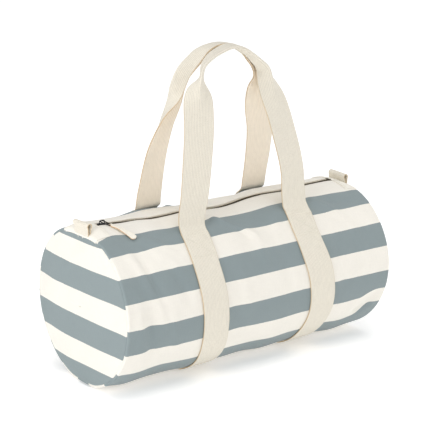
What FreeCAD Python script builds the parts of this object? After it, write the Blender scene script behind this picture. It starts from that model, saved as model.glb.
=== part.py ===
import FreeCAD, Part
import os
import re

import Sketcher

# Barrel weekender bag: a canvas drum lying along X, closed by a metal zip along its top, carried by
# two webbing handles whose straps run round the belly, with a webbing loop at each end of the zip.
# Millimetres. X runs along the drum, -Y is the front, +Z is up; the origin is on the surface that the
# bag stands on, below the middle of the drum.

doc = FreeCAD.newDocument("BarrelWeekender")
sheet = doc.addObject("Spreadsheet::Sheet", "Sizes")

SIZES = [
    # the drum
    ("drum_length", 490.0, "overall length of the drum, end panels included"),
    ("drum_radius", 120.0, "outside radius of the canvas"),
    ("axis_height", 120.0, "height of the drum's axis over the floor"),
    ("canvas", 1.5, "thickness of the canvas with its turnings"),
    ("webbing", 2.0, "thickness of the cotton webbing"),
    ("zip_mouth", 14.0, "width of the slot that the zip closes"),
    ("binding_width", 12.0, "width of the binding round the inside of each end seam"),
    ("binding_depth", 1.8, "thickness of that binding with the seam allowance in it"),
    # straps and handles
    ("strap_width", 46.0, "width of the webbing"),
    ("strap_left_x", -90.0, "middle of the left strap"),
    ("strap_right_x", 107.0, "middle of the right strap"),
    ("strap_top", 224.0, "height where the straps end and the handles begin"),
    ("hinge_y", 67.2, "distance of the handles' fold lines from the middle plane"),
    ("hinge_height", 223.5, "height of the handles' fold lines"),
    ("handle_lean", 11.3, "angle by which each handle leans inwards, degrees"),
    ("handle_rise", 262.0, "height of the grip's top over the fold line, along the handle"),
    ("grip_radius", 64.7, "radius of the arched grip, at the middle of its thickness"),
    ("grip_middle_x", 12.0, "middle of the grip along the drum"),
    ("grip_sweep", 68.0, "angle of the grip to each side of its top, degrees"),
    ("grip_width", 23.0, "width of the webbing folded in half"),
    ("grip_depth", 4.0, "two layers of webbing"),
    ("knee_height", 184.0, "height where the flat legs begin to fold into the grip"),
    ("knee_left_x", -60.0, "middle of the left leg at that height"),
    ("knee_right_x", 84.0, "middle of the right leg at that height"),
    ("neck_half_width", 4.5, "half the width of a leg where it meets the grip"),
    # zip
    ("zip_height", 237.0, "height of the middle of the zip"),
    ("tape_length", 460.0, "length of the zip's tapes"),
    ("tape_width", 12.0, "width of each tape beside its teeth"),
    ("tape_thickness", 0.8, "thickness of the tapes"),
    ("teeth_start", -216.0, "first tooth along the drum"),
    ("tooth_pitch", 2.5, "distance from tooth to tooth in one row"),
    ("tooth_count", 173, "teeth in each row"),
    ("tooth_length", 1.3, "size of a tooth along the drum"),
    ("tooth_reach", 2.4, "size of a tooth across the zip"),
    ("tooth_depth", 2.4, "height of a tooth"),
    ("teeth_gap", 0.6, "distance of each row from the middle plane"),
    ("stop_length", 2.3, "length of the stops at the closed end"),
    ("end_stop_length", 4.0, "length of the stop at the open end"),
    ("facing_length", 22.0, "length of the canvas facing over each end of the zip"),
    ("facing_half_width", 42.0, "half the width of that facing"),
    ("facing_depth", 1.0, "thickness of that facing"),
    # slider, link and puller
    ("slider_start", -216.0, "nose of the slider, zip closed"),
    ("slider_length", 14.0, "length of the slider"),
    ("slider_half_width", 5.2, "half the width of the slider"),
    ("slider_half_height", 2.6, "half the height of the slider's body"),
    ("channel_half_width", 3.4, "half the width of the channel for the teeth"),
    ("channel_half_height", 1.5, "half the height of that channel"),
    ("slot_half_height", 0.8, "half the height of the slots for the tapes"),
    ("post_length", 3.0, "length of the wedge that parts the teeth"),
    ("post_half_width", 0.35, "half the thickness of that wedge"),
    ("bridge_half_length", 5.0, "half the length of the slider's bridge"),
    ("bridge_bar", 1.4, "thickness of the bridge's round bar"),
    ("bridge_leg", 0.9, "thickness of the bridge's legs along the drum"),
    ("bar_height", 244.5, "height of the middle of the bridge's bar"),
    ("pull_yaw", 67.0, "angle of the link and puller from +X towards the front, degrees"),
    ("link_height", 242.5, "height of the link, which passes under the bar"),
    ("link_back", 2.0, "distance of the link's near bar behind the bridge"),
    ("link_reach", 15.0, "distance of the link's far bar in front of the bridge"),
    ("link_half_width", 2.6, "half the link's width, at the middle of its wire"),
    ("link_wire", 1.2, "thickness of the link's wire"),
    ("puller_inner_radius", 122.1, "radius of the puller's lower face about the drum's axis"),
    ("puller_depth", 2.4, "thickness of the puller"),
    ("puller_length", 40.0, "length of the puller in plan, from the link to the middle of its end"),
    ("puller_root_half", 3.0, "half the puller's width beside the link"),
    ("puller_tip_half", 6.0, "half the puller's width at its rounded end"),
    ("puller_neck_half", 1.7, "half the width of the loop that holds the link"),
    ("puller_neck_reach", 1.6, "distance from the link's bar to the puller's shoulder"),
    ("puller_loop_radius", 2.1, "outside radius of that loop"),
    ("puller_bore_radius", 1.0, "radius of the hole for the link's bar"),
    # end loops
    ("loop_x", 239.6, "distance of each end loop's fold line from the middle"),
    ("loop_height", 243.2, "height of that fold line"),
    ("loop_width", 40.0, "width of the end loops across the drum"),
    ("loop_rise", 7.6, "height of the middle of the loop's round top over the fold line"),
    ("loop_top_radius", 5.2, "outside radius of the loop's top"),
    ("loop_foot_radius", 1.8, "outside radius of the loop's foot"),
    ("loop_wall", 1.6, "thickness of the loop's webbing"),
]

for row, (alias, value, meaning) in enumerate(SIZES, start=1):
    sheet.set(f"A{row}", meaning)
    sheet.set(f"B{row}", str(value))
    sheet.setAlias(f"B{row}", alias)
doc.recompute()

aliases = {alias for alias, _, _ in SIZES}
nodes = []


def size(text):
    """The expression with each alias in it written as a reference to the sheet."""

    def reference(word):
        return f"{sheet.Name}.{word[0]}" if word[0] in aliases else word[0]

    return re.sub(r"[a-z]\w*", reference, text)


def bind(item, **expressions):
    """Ties properties to the sheet. A double underscore stands for a dot in a property's path."""
    for path, expression in expressions.items():
        item.setExpression(path.replace("__", "."), size(expression))


def node(item, label):
    """Marks a finished sub-part, whose label names its file."""
    item.Label = label
    nodes.append(item)
    return item


def box(name, x, y, z):
    """A box from (low, high) expressions along X, Y and Z."""
    item = doc.addObject("Part::Box", name)
    bind(
        item,
        Placement__Base__x=x[0],
        Placement__Base__y=y[0],
        Placement__Base__z=z[0],
        Length=f"({x[1]}) - ({x[0]})",
        Width=f"({y[1]}) - ({y[0]})",
        Height=f"({z[1]}) - ({z[0]})",
    )
    return item


def cut(name, base, tool):
    item = doc.addObject("Part::Cut", name)
    item.Base = base
    item.Tool = tool
    return item


def common(name, *shapes):
    item = doc.addObject("Part::MultiCommon", name)
    item.Shapes = list(shapes)
    return item


def fuse(name, *shapes):
    item = doc.addObject("Part::MultiFuse", name)
    item.Shapes = list(shapes)
    return item


def group(name, *shapes):
    """Separate solids that share one node."""
    item = doc.addObject("Part::Compound", name)
    item.Links = list(shapes)
    return item


def drum(name, radius, x, floor):
    """A solid drum about the bag's axis, between two stations along X, flat at a height below."""
    barrel = doc.addObject("Part::Cylinder", name + "Round")
    barrel.Placement.Rotation = FreeCAD.Rotation(FreeCAD.Vector(0, 1, 0), 90)
    bind(
        barrel,
        Radius=radius,
        Height=f"({x[1]}) - ({x[0]})",
        Placement__Base__x=x[0],
        Placement__Base__z="axis_height",
    )
    kept = box(name + "Kept", x, (f"-1 - ({radius})", f"1 + {radius}"), (floor, "2 * axis_height + 20"))
    return common(name, barrel, kept)


def hoop(name, outer, inner, x, floor, depth):
    """A drum's wall: outer and inner radius, its stations along X, its underside and its thickness."""
    bulk = drum(name + "Bulk", outer, x, floor)
    hollow = drum(name + "Hollow", inner, x, f"{floor} + {depth}")
    return cut(name, bulk, hollow)


def body_with_sketch(name, plane):
    """A PartDesign body and a first sketch on one of its origin planes."""
    body = doc.addObject("PartDesign::Body", name)
    return body, sketch_in(body, name + "Sketch", plane)


def sketch_in(body, name, plane):
    sketch = body.newObject("Sketcher::SketchObject", name)
    support = next(face for face in body.Origin.OriginFeatures if face.Role == plane)
    sketch.AttachmentSupport = [(support, "")]
    sketch.MapMode = "FlatFace"
    return sketch


def pin_point(sketch, geometry, point, x, y):
    """Holds a point of the sketch at a place given by two expressions."""
    origin = (-1, 1)
    for kind, expression in (("DistanceX", x), ("DistanceY", y)):
        value = sketch.evalExpression(size(expression))
        index = sketch.addConstraint(Sketcher.Constraint(kind, *origin, geometry, point, float(value)))
        sketch.setExpression(f"Constraints[{index}]", size(expression))


def polygon(sketch, corners):
    """A closed outline through corners that are pairs of expressions."""
    places = [
        FreeCAD.Vector(*(float(sketch.evalExpression(size(part))) for part in corner), 0)
        for corner in corners
    ]
    first = sketch.GeometryCount
    count = len(places)
    for index in range(count):
        sketch.addGeometry(Part.LineSegment(places[index], places[(index + 1) % count]))
    for index in range(count):
        following = first + (index + 1) % count
        sketch.addConstraint(Sketcher.Constraint("Coincident", first + index, 2, following, 1))
    for index, (x, y) in enumerate(corners):
        pin_point(sketch, first + index, 1, x, y)


def rectangle(sketch, x, y):
    """A rectangle from (low, high) expressions along the sketch's two axes."""
    polygon(sketch, [(x[0], y[0]), (x[1], y[0]), (x[1], y[1]), (x[0], y[1])])


def circle(sketch, x, y, radius):
    centre = FreeCAD.Vector(float(sketch.evalExpression(size(x))), float(sketch.evalExpression(size(y))), 0)
    value = float(sketch.evalExpression(size(radius)))
    index = sketch.addGeometry(Part.Circle(centre, FreeCAD.Vector(0, 0, 1), value))
    pin_point(sketch, index, 3, x, y)
    rule = sketch.addConstraint(Sketcher.Constraint("Radius", index, value))
    sketch.setExpression(f"Constraints[{rule}]", size(radius))


def pad(body, sketch, length):
    """A pad to both sides of its sketch."""
    item = body.newObject("PartDesign::Pad", sketch.Name + "Pad")
    item.Profile = sketch
    item.SideType = "Symmetric"
    bind(item, Length=length)
    sketch.Visibility = False
    return item


# ---- canvas: the rolled body panel, the two round ends and the bound seams inside them

wall_x = ("canvas - drum_length / 2", "drum_length / 2 - canvas")
panel_wall = hoop("PanelWall", "drum_radius", "drum_radius - canvas", wall_x, "webbing", "canvas")
upper_half = ("axis_height", "2 * axis_height + 10")
panel_mouth = box("PanelMouth", wall_x, ("-zip_mouth / 2", "zip_mouth / 2"), upper_half)
node(cut("BodyPanel", panel_wall, panel_mouth), "body_panel")

for side, sign in (("left", "-1"), ("right", "1")):
    outer_x = f"{sign} * drum_length / 2"
    inner_x = f"{sign} * (drum_length / 2 - canvas)"
    seam_x = f"{sign} * (drum_length / 2 - canvas - binding_width)"
    disc_x = (outer_x, inner_x) if side == "left" else (inner_x, outer_x)
    ring_x = (inner_x, seam_x) if side == "left" else (seam_x, inner_x)
    name = side.capitalize()
    node(drum(f"EndPanel{name}", "drum_radius", disc_x, "webbing"), f"end_panel_{side}")
    ring = hoop(
        f"SeamBinding{name}",
        "drum_radius - canvas",
        "drum_radius - canvas - binding_depth",
        ring_x,
        "webbing + canvas",
        "binding_depth",
    )
    node(ring, f"seam_binding_{side}")

# ---- straps: webbing sewn round the belly from one fold line to the other

for side in ("left", "right"):
    name = side.capitalize()
    middle = f"strap_{side}_x"
    strap_x = (f"{middle} - strap_width / 2", f"{middle} + strap_width / 2")
    wrap = hoop(f"StrapWrap{name}", "drum_radius + webbing", "drum_radius", strap_x, "0", "webbing")
    above = box(
        f"StrapAbove{name}",
        strap_x,
        ("-drum_radius - 5", "drum_radius + 5"),
        ("strap_top", "2 * axis_height + 20"),
    )
    node(cut(f"Strap{name}", wrap, above), f"strap_{side}")

# ---- handles: two flat legs that narrow to necks, and an arched grip of webbing folded in half.
# The foot of each leg is round, because it turns about the fold line.
# Each is drawn upright with its fold line on the X axis, then stood on the drum and leant inwards.


def handle(name, label, side):
    """A handle. side is -1 at the front and 1 at the back."""
    body, section = body_with_sketch(name + "Grip", "YZ_Plane")
    bind(
        section,
        AttachmentOffset__Base__z="grip_middle_x",
        AttachmentOffset__Base__y="handle_rise - grip_radius",
    )
    rectangle(
        section,
        ("-grip_width / 2", "grip_width / 2"),
        ("grip_radius - grip_depth / 2", "grip_radius + grip_depth / 2"),
    )
    arch = body.newObject("PartDesign::Revolution", name + "Arch")
    arch.Profile = section
    arch.ReferenceAxis = (section, ["H_Axis"])
    arch.Midplane = True
    bind(arch, Angle="2 * grip_sweep")
    section.Visibility = False

    outline = sketch_in(body, name + "Legs", "XZ_Plane")
    neck_height = "handle_rise - grip_radius + grip_radius * cos(grip_sweep * 1deg)"
    for leg, turn in (("left", "-"), ("right", "+")):
        neck = f"grip_middle_x {turn} grip_radius * sin(grip_sweep * 1deg)"
        polygon(
            outline,
            [
                (f"strap_{leg}_x - strap_width / 2", "0"),
                (f"strap_{leg}_x + strap_width / 2", "0"),
                (f"knee_{leg}_x + strap_width / 2", "knee_height"),
                (f"{neck} + neck_half_width", neck_height),
                (f"{neck} - neck_half_width", neck_height),
                (f"knee_{leg}_x - strap_width / 2", "knee_height"),
            ],
        )
    pad(body, outline, "webbing")
    for leg in ("left", "right"):
        foot = sketch_in(body, f"{name}Foot{leg.capitalize()}", "YZ_Plane")
        bind(foot, AttachmentOffset__Base__z=f"strap_{leg}_x")
        circle(foot, "0", "0", "webbing / 2")
        pad(body, foot, "strap_width")
    body.Placement.Rotation = FreeCAD.Rotation(FreeCAD.Vector(side, 0, 0), sheet.get("handle_lean"))
    bind(body, Placement__Base__y=f"{side} * hinge_y", Placement__Base__z="hinge_height")
    return node(body, label)


handle("FrontHandle", "front_handle", -1)
handle("BackHandle", "back_handle", 1)

# ---- zip: tapes, rows of teeth, stops, and the canvas facing over each end

for side, sign in (("front", -1), ("back", 1)):
    name = side.capitalize()
    edges = ["teeth_gap + tooth_reach", "teeth_gap + tooth_reach + tape_width"]
    tape_y = tuple(edges) if sign > 0 else tuple(f"-({edge})" for edge in reversed(edges))
    tape = box(
        f"ZipTape{name}",
        ("-tape_length / 2", "tape_length / 2"),
        tape_y,
        ("zip_height - tape_thickness / 2", "zip_height + tape_thickness / 2"),
    )
    node(tape, f"zip_tape_{side}")

    row, tooth = body_with_sketch(f"ZipTeeth{name}", "XY_Plane")
    bind(tooth, AttachmentOffset__Base__z="zip_height")
    shift = "0" if sign < 0 else "tooth_pitch / 2"
    ends = ["teeth_gap", "teeth_gap + tooth_reach"]
    tooth_y = tuple(ends) if sign > 0 else tuple(f"-({end})" for end in reversed(ends))
    rectangle(tooth, (f"teeth_start + {shift}", f"teeth_start + {shift} + tooth_length"), tooth_y)
    first_tooth = pad(row, tooth, "tooth_depth")
    doc.recompute()
    pattern = row.newObject("PartDesign::LinearPattern", f"ZipTeethPattern{name}")
    pattern.Originals = [first_tooth]
    pattern.Direction = (tooth, ["H_Axis"])
    bind(pattern, Length="tooth_pitch * (tooth_count - 1)", Occurrences="tooth_count")
    row.Tip = pattern
    node(row, f"zip_teeth_{side}")

stop_x = ("slider_start - 1 - stop_length", "slider_start - 1")
stop_z = ("zip_height - tooth_depth / 2", "zip_height + tooth_depth / 2")
front_stop = box("TopStopFront", stop_x, ("-teeth_gap - tooth_reach", "-teeth_gap"), stop_z)
back_stop = box("TopStopBack", stop_x, ("teeth_gap", "teeth_gap + tooth_reach"), stop_z)
node(group("ZipTopStops", front_stop, back_stop), "zip_top_stops")

teeth_end = "teeth_start + tooth_pitch * (tooth_count + 0.5)"
end_stop = box(
    "ZipBottomStop",
    (teeth_end, f"{teeth_end} + end_stop_length"),
    ("-teeth_gap - tooth_reach", "teeth_gap + tooth_reach"),
    stop_z,
)
node(end_stop, "zip_bottom_stop")

for side, sign in (("left", -1), ("right", 1)):
    name = side.capitalize()
    ends = ["drum_length / 2 - facing_length", "drum_length / 2"]
    facing_x = tuple(ends) if sign > 0 else tuple(f"-({end})" for end in reversed(ends))
    skin = hoop(f"FacingSkin{name}", "drum_radius + facing_depth", "drum_radius", facing_x, "0", "1")
    patch = box(
        f"FacingPatch{name}",
        facing_x,
        ("-facing_half_width", "facing_half_width"),
        upper_half,
    )
    node(common(f"ZipEndFacing{name}", skin, patch), f"zip_end_facing_{side}")

# ---- slider: two plates joined by a wedge, slots for the tapes, and a bridge that holds the link

slider_x = ("slider_start", "slider_start + slider_length")
slider_middle = "slider_start + slider_length / 2"


def about_zip(half):
    """Heights to both sides of the middle of the zip."""
    return (f"zip_height - {half}", f"zip_height + {half}")


def across(half):
    """Places to both sides of the middle plane."""
    return (f"-{half}", half)


block = box("SliderBlock", slider_x, across("slider_half_width"), about_zip("slider_half_height"))
channel = box("SliderChannel", slider_x, across("channel_half_width"), about_zip("channel_half_height"))
slots = box("SliderSlots", slider_x, across("slider_half_width"), about_zip("slot_half_height"))
plates = cut("SliderPlates", block, fuse("SliderHollow", channel, slots))
wedge = box(
    "SliderWedge",
    ("slider_start", "slider_start + post_length"),
    across("post_half_width"),
    about_zip("slider_half_height"),
)
bridge_z = ("zip_height + slider_half_height", "bar_height")
bridge = box(
    "SliderBridge",
    (f"{slider_middle} - bridge_half_length", f"{slider_middle} + bridge_half_length"),
    across("bridge_bar / 2"),
    bridge_z,
)
window = box(
    "SliderWindow",
    (
        f"{slider_middle} - bridge_half_length + bridge_leg",
        f"{slider_middle} + bridge_half_length - bridge_leg",
    ),
    across("bridge_bar / 2"),
    bridge_z,
)
bar = doc.addObject("Part::Cylinder", "SliderBar")
bar.Placement.Rotation = FreeCAD.Rotation(FreeCAD.Vector(0, 1, 0), 90)
bind(
    bar,
    Radius="bridge_bar / 2",
    Height="2 * bridge_half_length",
    Placement__Base__x=f"{slider_middle} - bridge_half_length",
    Placement__Base__z="bar_height",
)
node(fuse("ZipSlider", plates, wedge, cut("SliderLegs", bridge, window), bar), "zip_slider")

# ---- link: a flat ring under the bridge's bar, drawn with the bar at its origin


def turn_with_pull(item, height):
    """Stands a piece on the slider, turned to the direction in which the pull lies."""
    yaw = sheet.get("pull_yaw")
    item.Placement.Rotation = FreeCAD.Rotation(FreeCAD.Vector(0, 0, -1), yaw)
    bind(item, Placement__Base__x=slider_middle, Placement__Base__z=height)


link, link_ring = body_with_sketch("PullLink", "XY_Plane")
rectangle(
    link_ring,
    ("-link_back - link_wire / 2", "link_reach + link_wire / 2"),
    ("-link_half_width - link_wire / 2", "link_half_width + link_wire / 2"),
)
rectangle(
    link_ring,
    ("-link_back + link_wire / 2", "link_reach - link_wire / 2"),
    ("-link_half_width + link_wire / 2", "link_half_width - link_wire / 2"),
)
ring_pad = pad(link, link_ring, "link_wire")
doc.recompute()
corners = [
    f"Edge{index}"
    for index, edge in enumerate(ring_pad.Shape.Edges, start=1)
    if abs(edge.tangentAt(edge.FirstParameter).z) > 0.9
    and abs(edge.CenterOfMass.y) > float(sheet.get("link_half_width"))
]
rounding = link.newObject("PartDesign::Fillet", "PullLinkCorners")
rounding.Base = (ring_pad, corners)
bind(rounding, Radius="link_wire")
turn_with_pull(link, "link_height")
node(link, "zip_pull_link")

# ---- puller: a tapered tab bent to the drum's curve, with a round end and a loop round the link's bar

outline = doc.addObject("Sketcher::SketchObject", "PullerOutline")
polygon(
    outline,
    [
        ("link_reach + puller_neck_reach", "-puller_root_half"),
        ("link_reach + puller_length", "-puller_tip_half"),
        ("link_reach + puller_length", "puller_tip_half"),
        ("link_reach + puller_neck_reach", "puller_root_half"),
    ],
)
turn_with_pull(outline, "axis_height")
tab = doc.addObject("Part::Extrusion", "PullerTab")
tab.Base = outline
tab.DirMode = "Normal"
tab.Solid = True
bind(tab, LengthFwd="2 * drum_radius")
outline.Visibility = False

round_end = doc.addObject("Part::Cylinder", "PullerRoundEnd")
bind(round_end, Radius="puller_tip_half", Height="2 * drum_radius")
turn_with_pull(round_end, "axis_height")
yaw_cosine = "cos(pull_yaw * 1deg)"
yaw_sine = "sin(pull_yaw * 1deg)"
bind(
    round_end,
    Placement__Base__x=f"{slider_middle} + (link_reach + puller_length) * {yaw_cosine}",
    Placement__Base__y=f"-(link_reach + puller_length) * {yaw_sine}",
)

curve = hoop(
    "PullerCurve",
    "puller_inner_radius + puller_depth",
    "puller_inner_radius",
    ("slider_start - 20", "slider_start + 80"),
    "0",
    "1",
)
leaf = common("PullerLeaf", curve, fuse("PullerPlan", tab, round_end))


def about_link_bar(name, radius, half_width):
    """A cylinder about the link's far bar."""
    item = doc.addObject("Part::Cylinder", name)
    lie_down = FreeCAD.Rotation(FreeCAD.Vector(1, 0, 0), -90)
    yaw = FreeCAD.Rotation(FreeCAD.Vector(0, 0, -1), sheet.get("pull_yaw"))
    item.Placement.Rotation = yaw * lie_down
    bind(
        item,
        Radius=radius,
        Height=f"2 * {half_width}",
        Placement__Base__x=f"{slider_middle} + link_reach * {yaw_cosine} - {half_width} * {yaw_sine}",
        Placement__Base__y=f"-link_reach * {yaw_sine} - {half_width} * {yaw_cosine}",
        Placement__Base__z="link_height",
    )
    return item


eye = about_link_bar("PullerEye", "puller_loop_radius", "puller_neck_half")
bore = about_link_bar("PullerBore", "puller_bore_radius", "3 * puller_neck_half")
node(cut("ZipPuller", fuse("PullerBlank", leaf, eye), bore), "zip_puller")

# ---- end loops: webbing folded over and sewn into each end seam, a round top over a narrow foot.
# The outline is two circles joined by a tapered web, and the opening has the same form inside.


def loop_web(body, name, top_radius, foot_radius):
    """The tapered web whose sides touch both circles of the loop's outline."""
    taper = f"(({top_radius} - {foot_radius}) / loop_rise)"
    level = f"sqrt(1 - {taper} * {taper})"
    web = sketch_in(body, name + "Web", "XZ_Plane")
    foot_half = f"{foot_radius} * {level}"
    top_half = f"{top_radius} * {level}"
    foot_height = f"{foot_radius} * {taper}"
    top_height = f"loop_rise + {top_radius} * {taper}"
    polygon(
        web,
        [
            (f"-{foot_half}", foot_height),
            (foot_half, foot_height),
            (top_half, top_height),
            (f"-{top_half}", top_height),
        ],
    )
    return web


for side, sign in (("left", -1), ("right", 1)):
    name = f"EndLoop{side.capitalize()}"
    body, top = body_with_sketch(name, "XZ_Plane")
    circle(top, "0", "loop_rise", "loop_top_radius")
    pad(body, top, "loop_width")
    foot = sketch_in(body, name + "Foot", "XZ_Plane")
    circle(foot, "0", "0", "loop_foot_radius")
    pad(body, foot, "loop_width")
    pad(body, loop_web(body, name, "loop_top_radius", "loop_foot_radius"), "loop_width")
    doc.recompute()
    inside_top = "(loop_top_radius - loop_wall)"
    inside_foot = "(loop_foot_radius - loop_wall)"
    hole = sketch_in(body, name + "HoleTop", "XZ_Plane")
    circle(hole, "0", "loop_rise", inside_top)
    tunnel = loop_web(body, name + "Hole", inside_top, inside_foot)
    for opening in (hole, tunnel):
        pocket = body.newObject("PartDesign::Pocket", opening.Name + "Pocket")
        pocket.Profile = opening
        pocket.SideType = "Symmetric"
        bind(pocket, Length="loop_width + 2")
        opening.Visibility = False
    bind(body, Placement__Base__x=f"{sign} * loop_x", Placement__Base__z="loop_height")
    node(body, f"end_tab_{side}")

# ---- checks, then one STEP file for each sub-part

doc.recompute()
broken = [item.Name for item in doc.Objects if {"Invalid", "Error"} & set(item.State)]
if broken:
    raise RuntimeError(f"failed objects: {broken}")
for item in nodes:
    if item.Shape.isNull() or not item.Shape.isValid():
        raise RuntimeError(f"bad shape: {item.Label}")

os.makedirs("parts", exist_ok=True)
for item in nodes:
    item.Shape.exportStep(f"parts/{item.Label}.step")
    solids = len(item.Shape.Solids)
    print(f"{item.Label:24} {solids:4} solid(s) {item.Shape.Volume:10.1f} mm3  {item.Shape.BoundBox}")
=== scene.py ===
"""A barrel weekender bag: striped canvas drum, sewn webbing straps and handles, a metal zip.

Metres. X runs along the drum, -Y is the front and +Z is up. An angle round the drum is measured
from the front, upwards, so that 0 is the front, 90 degrees the top and 180 degrees the back.
"""

import logging
import math
from dataclasses import dataclass, field
from enum import Enum
from typing import Union

import bpy
import numpy as np
from mathutils import Matrix, Vector


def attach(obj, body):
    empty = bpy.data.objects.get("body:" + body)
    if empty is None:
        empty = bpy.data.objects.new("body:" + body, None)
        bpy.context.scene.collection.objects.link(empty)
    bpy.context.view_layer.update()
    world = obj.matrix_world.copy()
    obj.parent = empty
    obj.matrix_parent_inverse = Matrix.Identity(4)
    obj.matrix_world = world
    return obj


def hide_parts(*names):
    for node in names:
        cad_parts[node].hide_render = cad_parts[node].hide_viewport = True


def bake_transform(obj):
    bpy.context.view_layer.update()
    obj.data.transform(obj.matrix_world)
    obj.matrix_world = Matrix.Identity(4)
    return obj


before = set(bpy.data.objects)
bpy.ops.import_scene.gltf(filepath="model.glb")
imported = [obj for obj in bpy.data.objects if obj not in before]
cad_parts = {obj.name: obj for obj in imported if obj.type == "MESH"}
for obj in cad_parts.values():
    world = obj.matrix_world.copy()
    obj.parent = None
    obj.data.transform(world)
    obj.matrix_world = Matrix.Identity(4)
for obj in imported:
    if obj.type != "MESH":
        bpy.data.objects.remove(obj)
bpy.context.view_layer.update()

LOG = logging.getLogger("weekender")
Array = np.ndarray
Triple = tuple[float, float, float]
MM = 0.001
ROOT = "root"
THREAD_LIFT = 0.2 * MM
UPWARDS = (0.0, 0.0, 1.0)


# ---- curves, sections and meshes


def wrapped(angle: Array) -> Array:
    """The angle brought into the range from -90 to 270 degrees, in radians."""
    return np.mod(angle + np.pi / 2, 2 * np.pi) - np.pi / 2


def bell(distance: Array, width: float) -> Array:
    """A Gaussian hump, exp(-(distance / width)^2)."""
    return np.exp(-((distance / width) ** 2))


def ramp(value: Array, low: float, high: float) -> Array:
    """A smooth step 3t^2 - 2t^3, from 0 at low to 1 at high."""
    t = np.clip((value - low) / (high - low), 0, 1)
    return t * t * (3 - 2 * t)


def unit(vectors: Array) -> Array:
    """The vectors at length 1."""
    return vectors / np.maximum(np.linalg.norm(vectors, axis=-1, keepdims=True), 1e-12)


def spline(at: Array, knots: Array, values: Array) -> Array:
    """A cubic Hermite curve through the values, with slopes from the neighbouring knots.

    Args:
        at: Where the curve is wanted.
        knots: Growing places of the values.
        values: One row for each knot.

    Returns:
        One row for each place.
    """
    values = np.asarray(values, float)
    slopes = np.gradient(values, knots, axis=0)
    span = np.clip(np.searchsorted(knots, at, side="right") - 1, 0, len(knots) - 2)
    width = knots[span + 1] - knots[span]
    t = np.clip((at - knots[span]) / width, 0, 1)
    if values.ndim > 1:
        t, width = t[:, None], width[:, None]
    return (
        (2 * t**3 - 3 * t**2 + 1) * values[span]
        + (t**3 - 2 * t**2 + t) * width * slopes[span]
        + (3 * t**2 - 2 * t**3) * values[span + 1]
        + (t**3 - t**2) * width * slopes[span + 1]
    )


def squared(value: Array, power: float) -> Array:
    """The value raised to a power with its sign kept; below 1 that squares a circle's corners."""
    return np.sign(value) * np.abs(value) ** power


def looked_up(at: Array, run: Array, table: Array) -> Array:
    """Rows of three numbers read from a table at places along its run."""
    return np.stack([np.interp(at, run, table[:, axis]) for axis in range(3)], -1)


def lengths(points: Array) -> Array:
    """Distance run along the points up to each of them."""
    steps = np.linalg.norm(np.diff(points, axis=0), axis=1)
    return np.concatenate([[0.0], np.cumsum(steps)])


def evenly(points: Array, count: int) -> Array:
    """The polyline resampled to points that lie at equal distances along it."""
    run = lengths(points)
    return looked_up(np.linspace(0, run[-1], count), run, points)


def framed(path: Array, facing: Array, closed: bool = False) -> tuple[Array, Array]:
    """Directions across a path.

    Args:
        path: Points of the path.
        facing: The way that the outer face looks, one row or one for each point.
        closed: Whether the path comes back to its start.

    Returns:
        The unit vectors across the path, and the outer normals square to both.
    """
    if closed:
        ahead = np.roll(path, -1, axis=0) - np.roll(path, 1, axis=0)
    else:
        ahead = np.gradient(path, axis=0)
    along = unit(ahead)
    facing = np.broadcast_to(facing, path.shape)
    normal = unit(facing - along * np.sum(along * facing, axis=1, keepdims=True))
    return np.cross(along, normal), normal


@dataclass
class Patch:
    """Points and faces, with cloth coordinates in metres and further values at the points."""

    points: Array
    corners: Array
    sizes: Array
    cloth: Array
    values: dict[str, Array] = field(default_factory=dict)

    def order(self) -> tuple[Array, Array, Array]:
        """Where the corners stand in their faces.

        Returns:
            For each corner, its face's first corner, that face's size and its own place in it.
        """
        first = np.repeat(np.cumsum(self.sizes) - self.sizes, self.sizes)
        return first, np.repeat(self.sizes, self.sizes), np.arange(len(self.corners)) - first

    def swell(self, about: Array) -> float:
        """Six times the signed volume between the faces and a point.

        Args:
            about: The point.

        Returns:
            The sum of a x b . c over the faces' triangles, positive if they face away.
        """
        first, size, place = self.order()
        inner = np.nonzero((place > 0) & (place < size - 1))[0]
        spots = self.points - about
        a, b, c = (spots[self.corners[index]] for index in (first[inner], inner, inner + 1))
        return float(np.sum(np.cross(a, b) * c))

    def outward(self, about: Union[Array, None] = None) -> "Patch":
        """Turns the faces to look away from a point.

        Args:
            about: The point, which is the middle unless given.

        Returns:
            This patch.
        """
        if self.swell(self.points.mean(axis=0) if about is None else about) < 0:
            first, size, place = self.order()
            self.corners = self.corners[first + size - 1 - place]
        return self

    def repeated(self, spots: Array) -> "Patch":
        """Copies of the patch in one.

        Args:
            spots: The copies' points, copies by points by 3.

        Returns:
            The new patch.
        """
        count, points = spots.shape[:2]
        return Patch(
            spots.reshape(-1, 3),
            (self.corners + points * np.arange(count)[:, None]).reshape(-1),
            np.tile(self.sizes, count),
            np.tile(self.cloth, (count, 1)),
        )

    @staticmethod
    def joined(patches: list["Patch"]) -> "Patch":
        """One patch of several, each closed by itself.

        Args:
            patches: The parts.

        Returns:
            The new patch, with the values that all the parts have.
        """
        shifts = np.cumsum([0] + [len(patch.points) for patch in patches[:-1]])
        names = set.intersection(*(set(patch.values) for patch in patches))
        return Patch(
            np.concatenate([patch.points for patch in patches]),
            np.concatenate([patch.corners + shift for patch, shift in zip(patches, shifts)]),
            np.concatenate([patch.sizes for patch in patches]),
            np.concatenate([patch.cloth for patch in patches]),
            {name: np.concatenate([patch.values[name] for patch in patches]) for name in names},
        )


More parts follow.
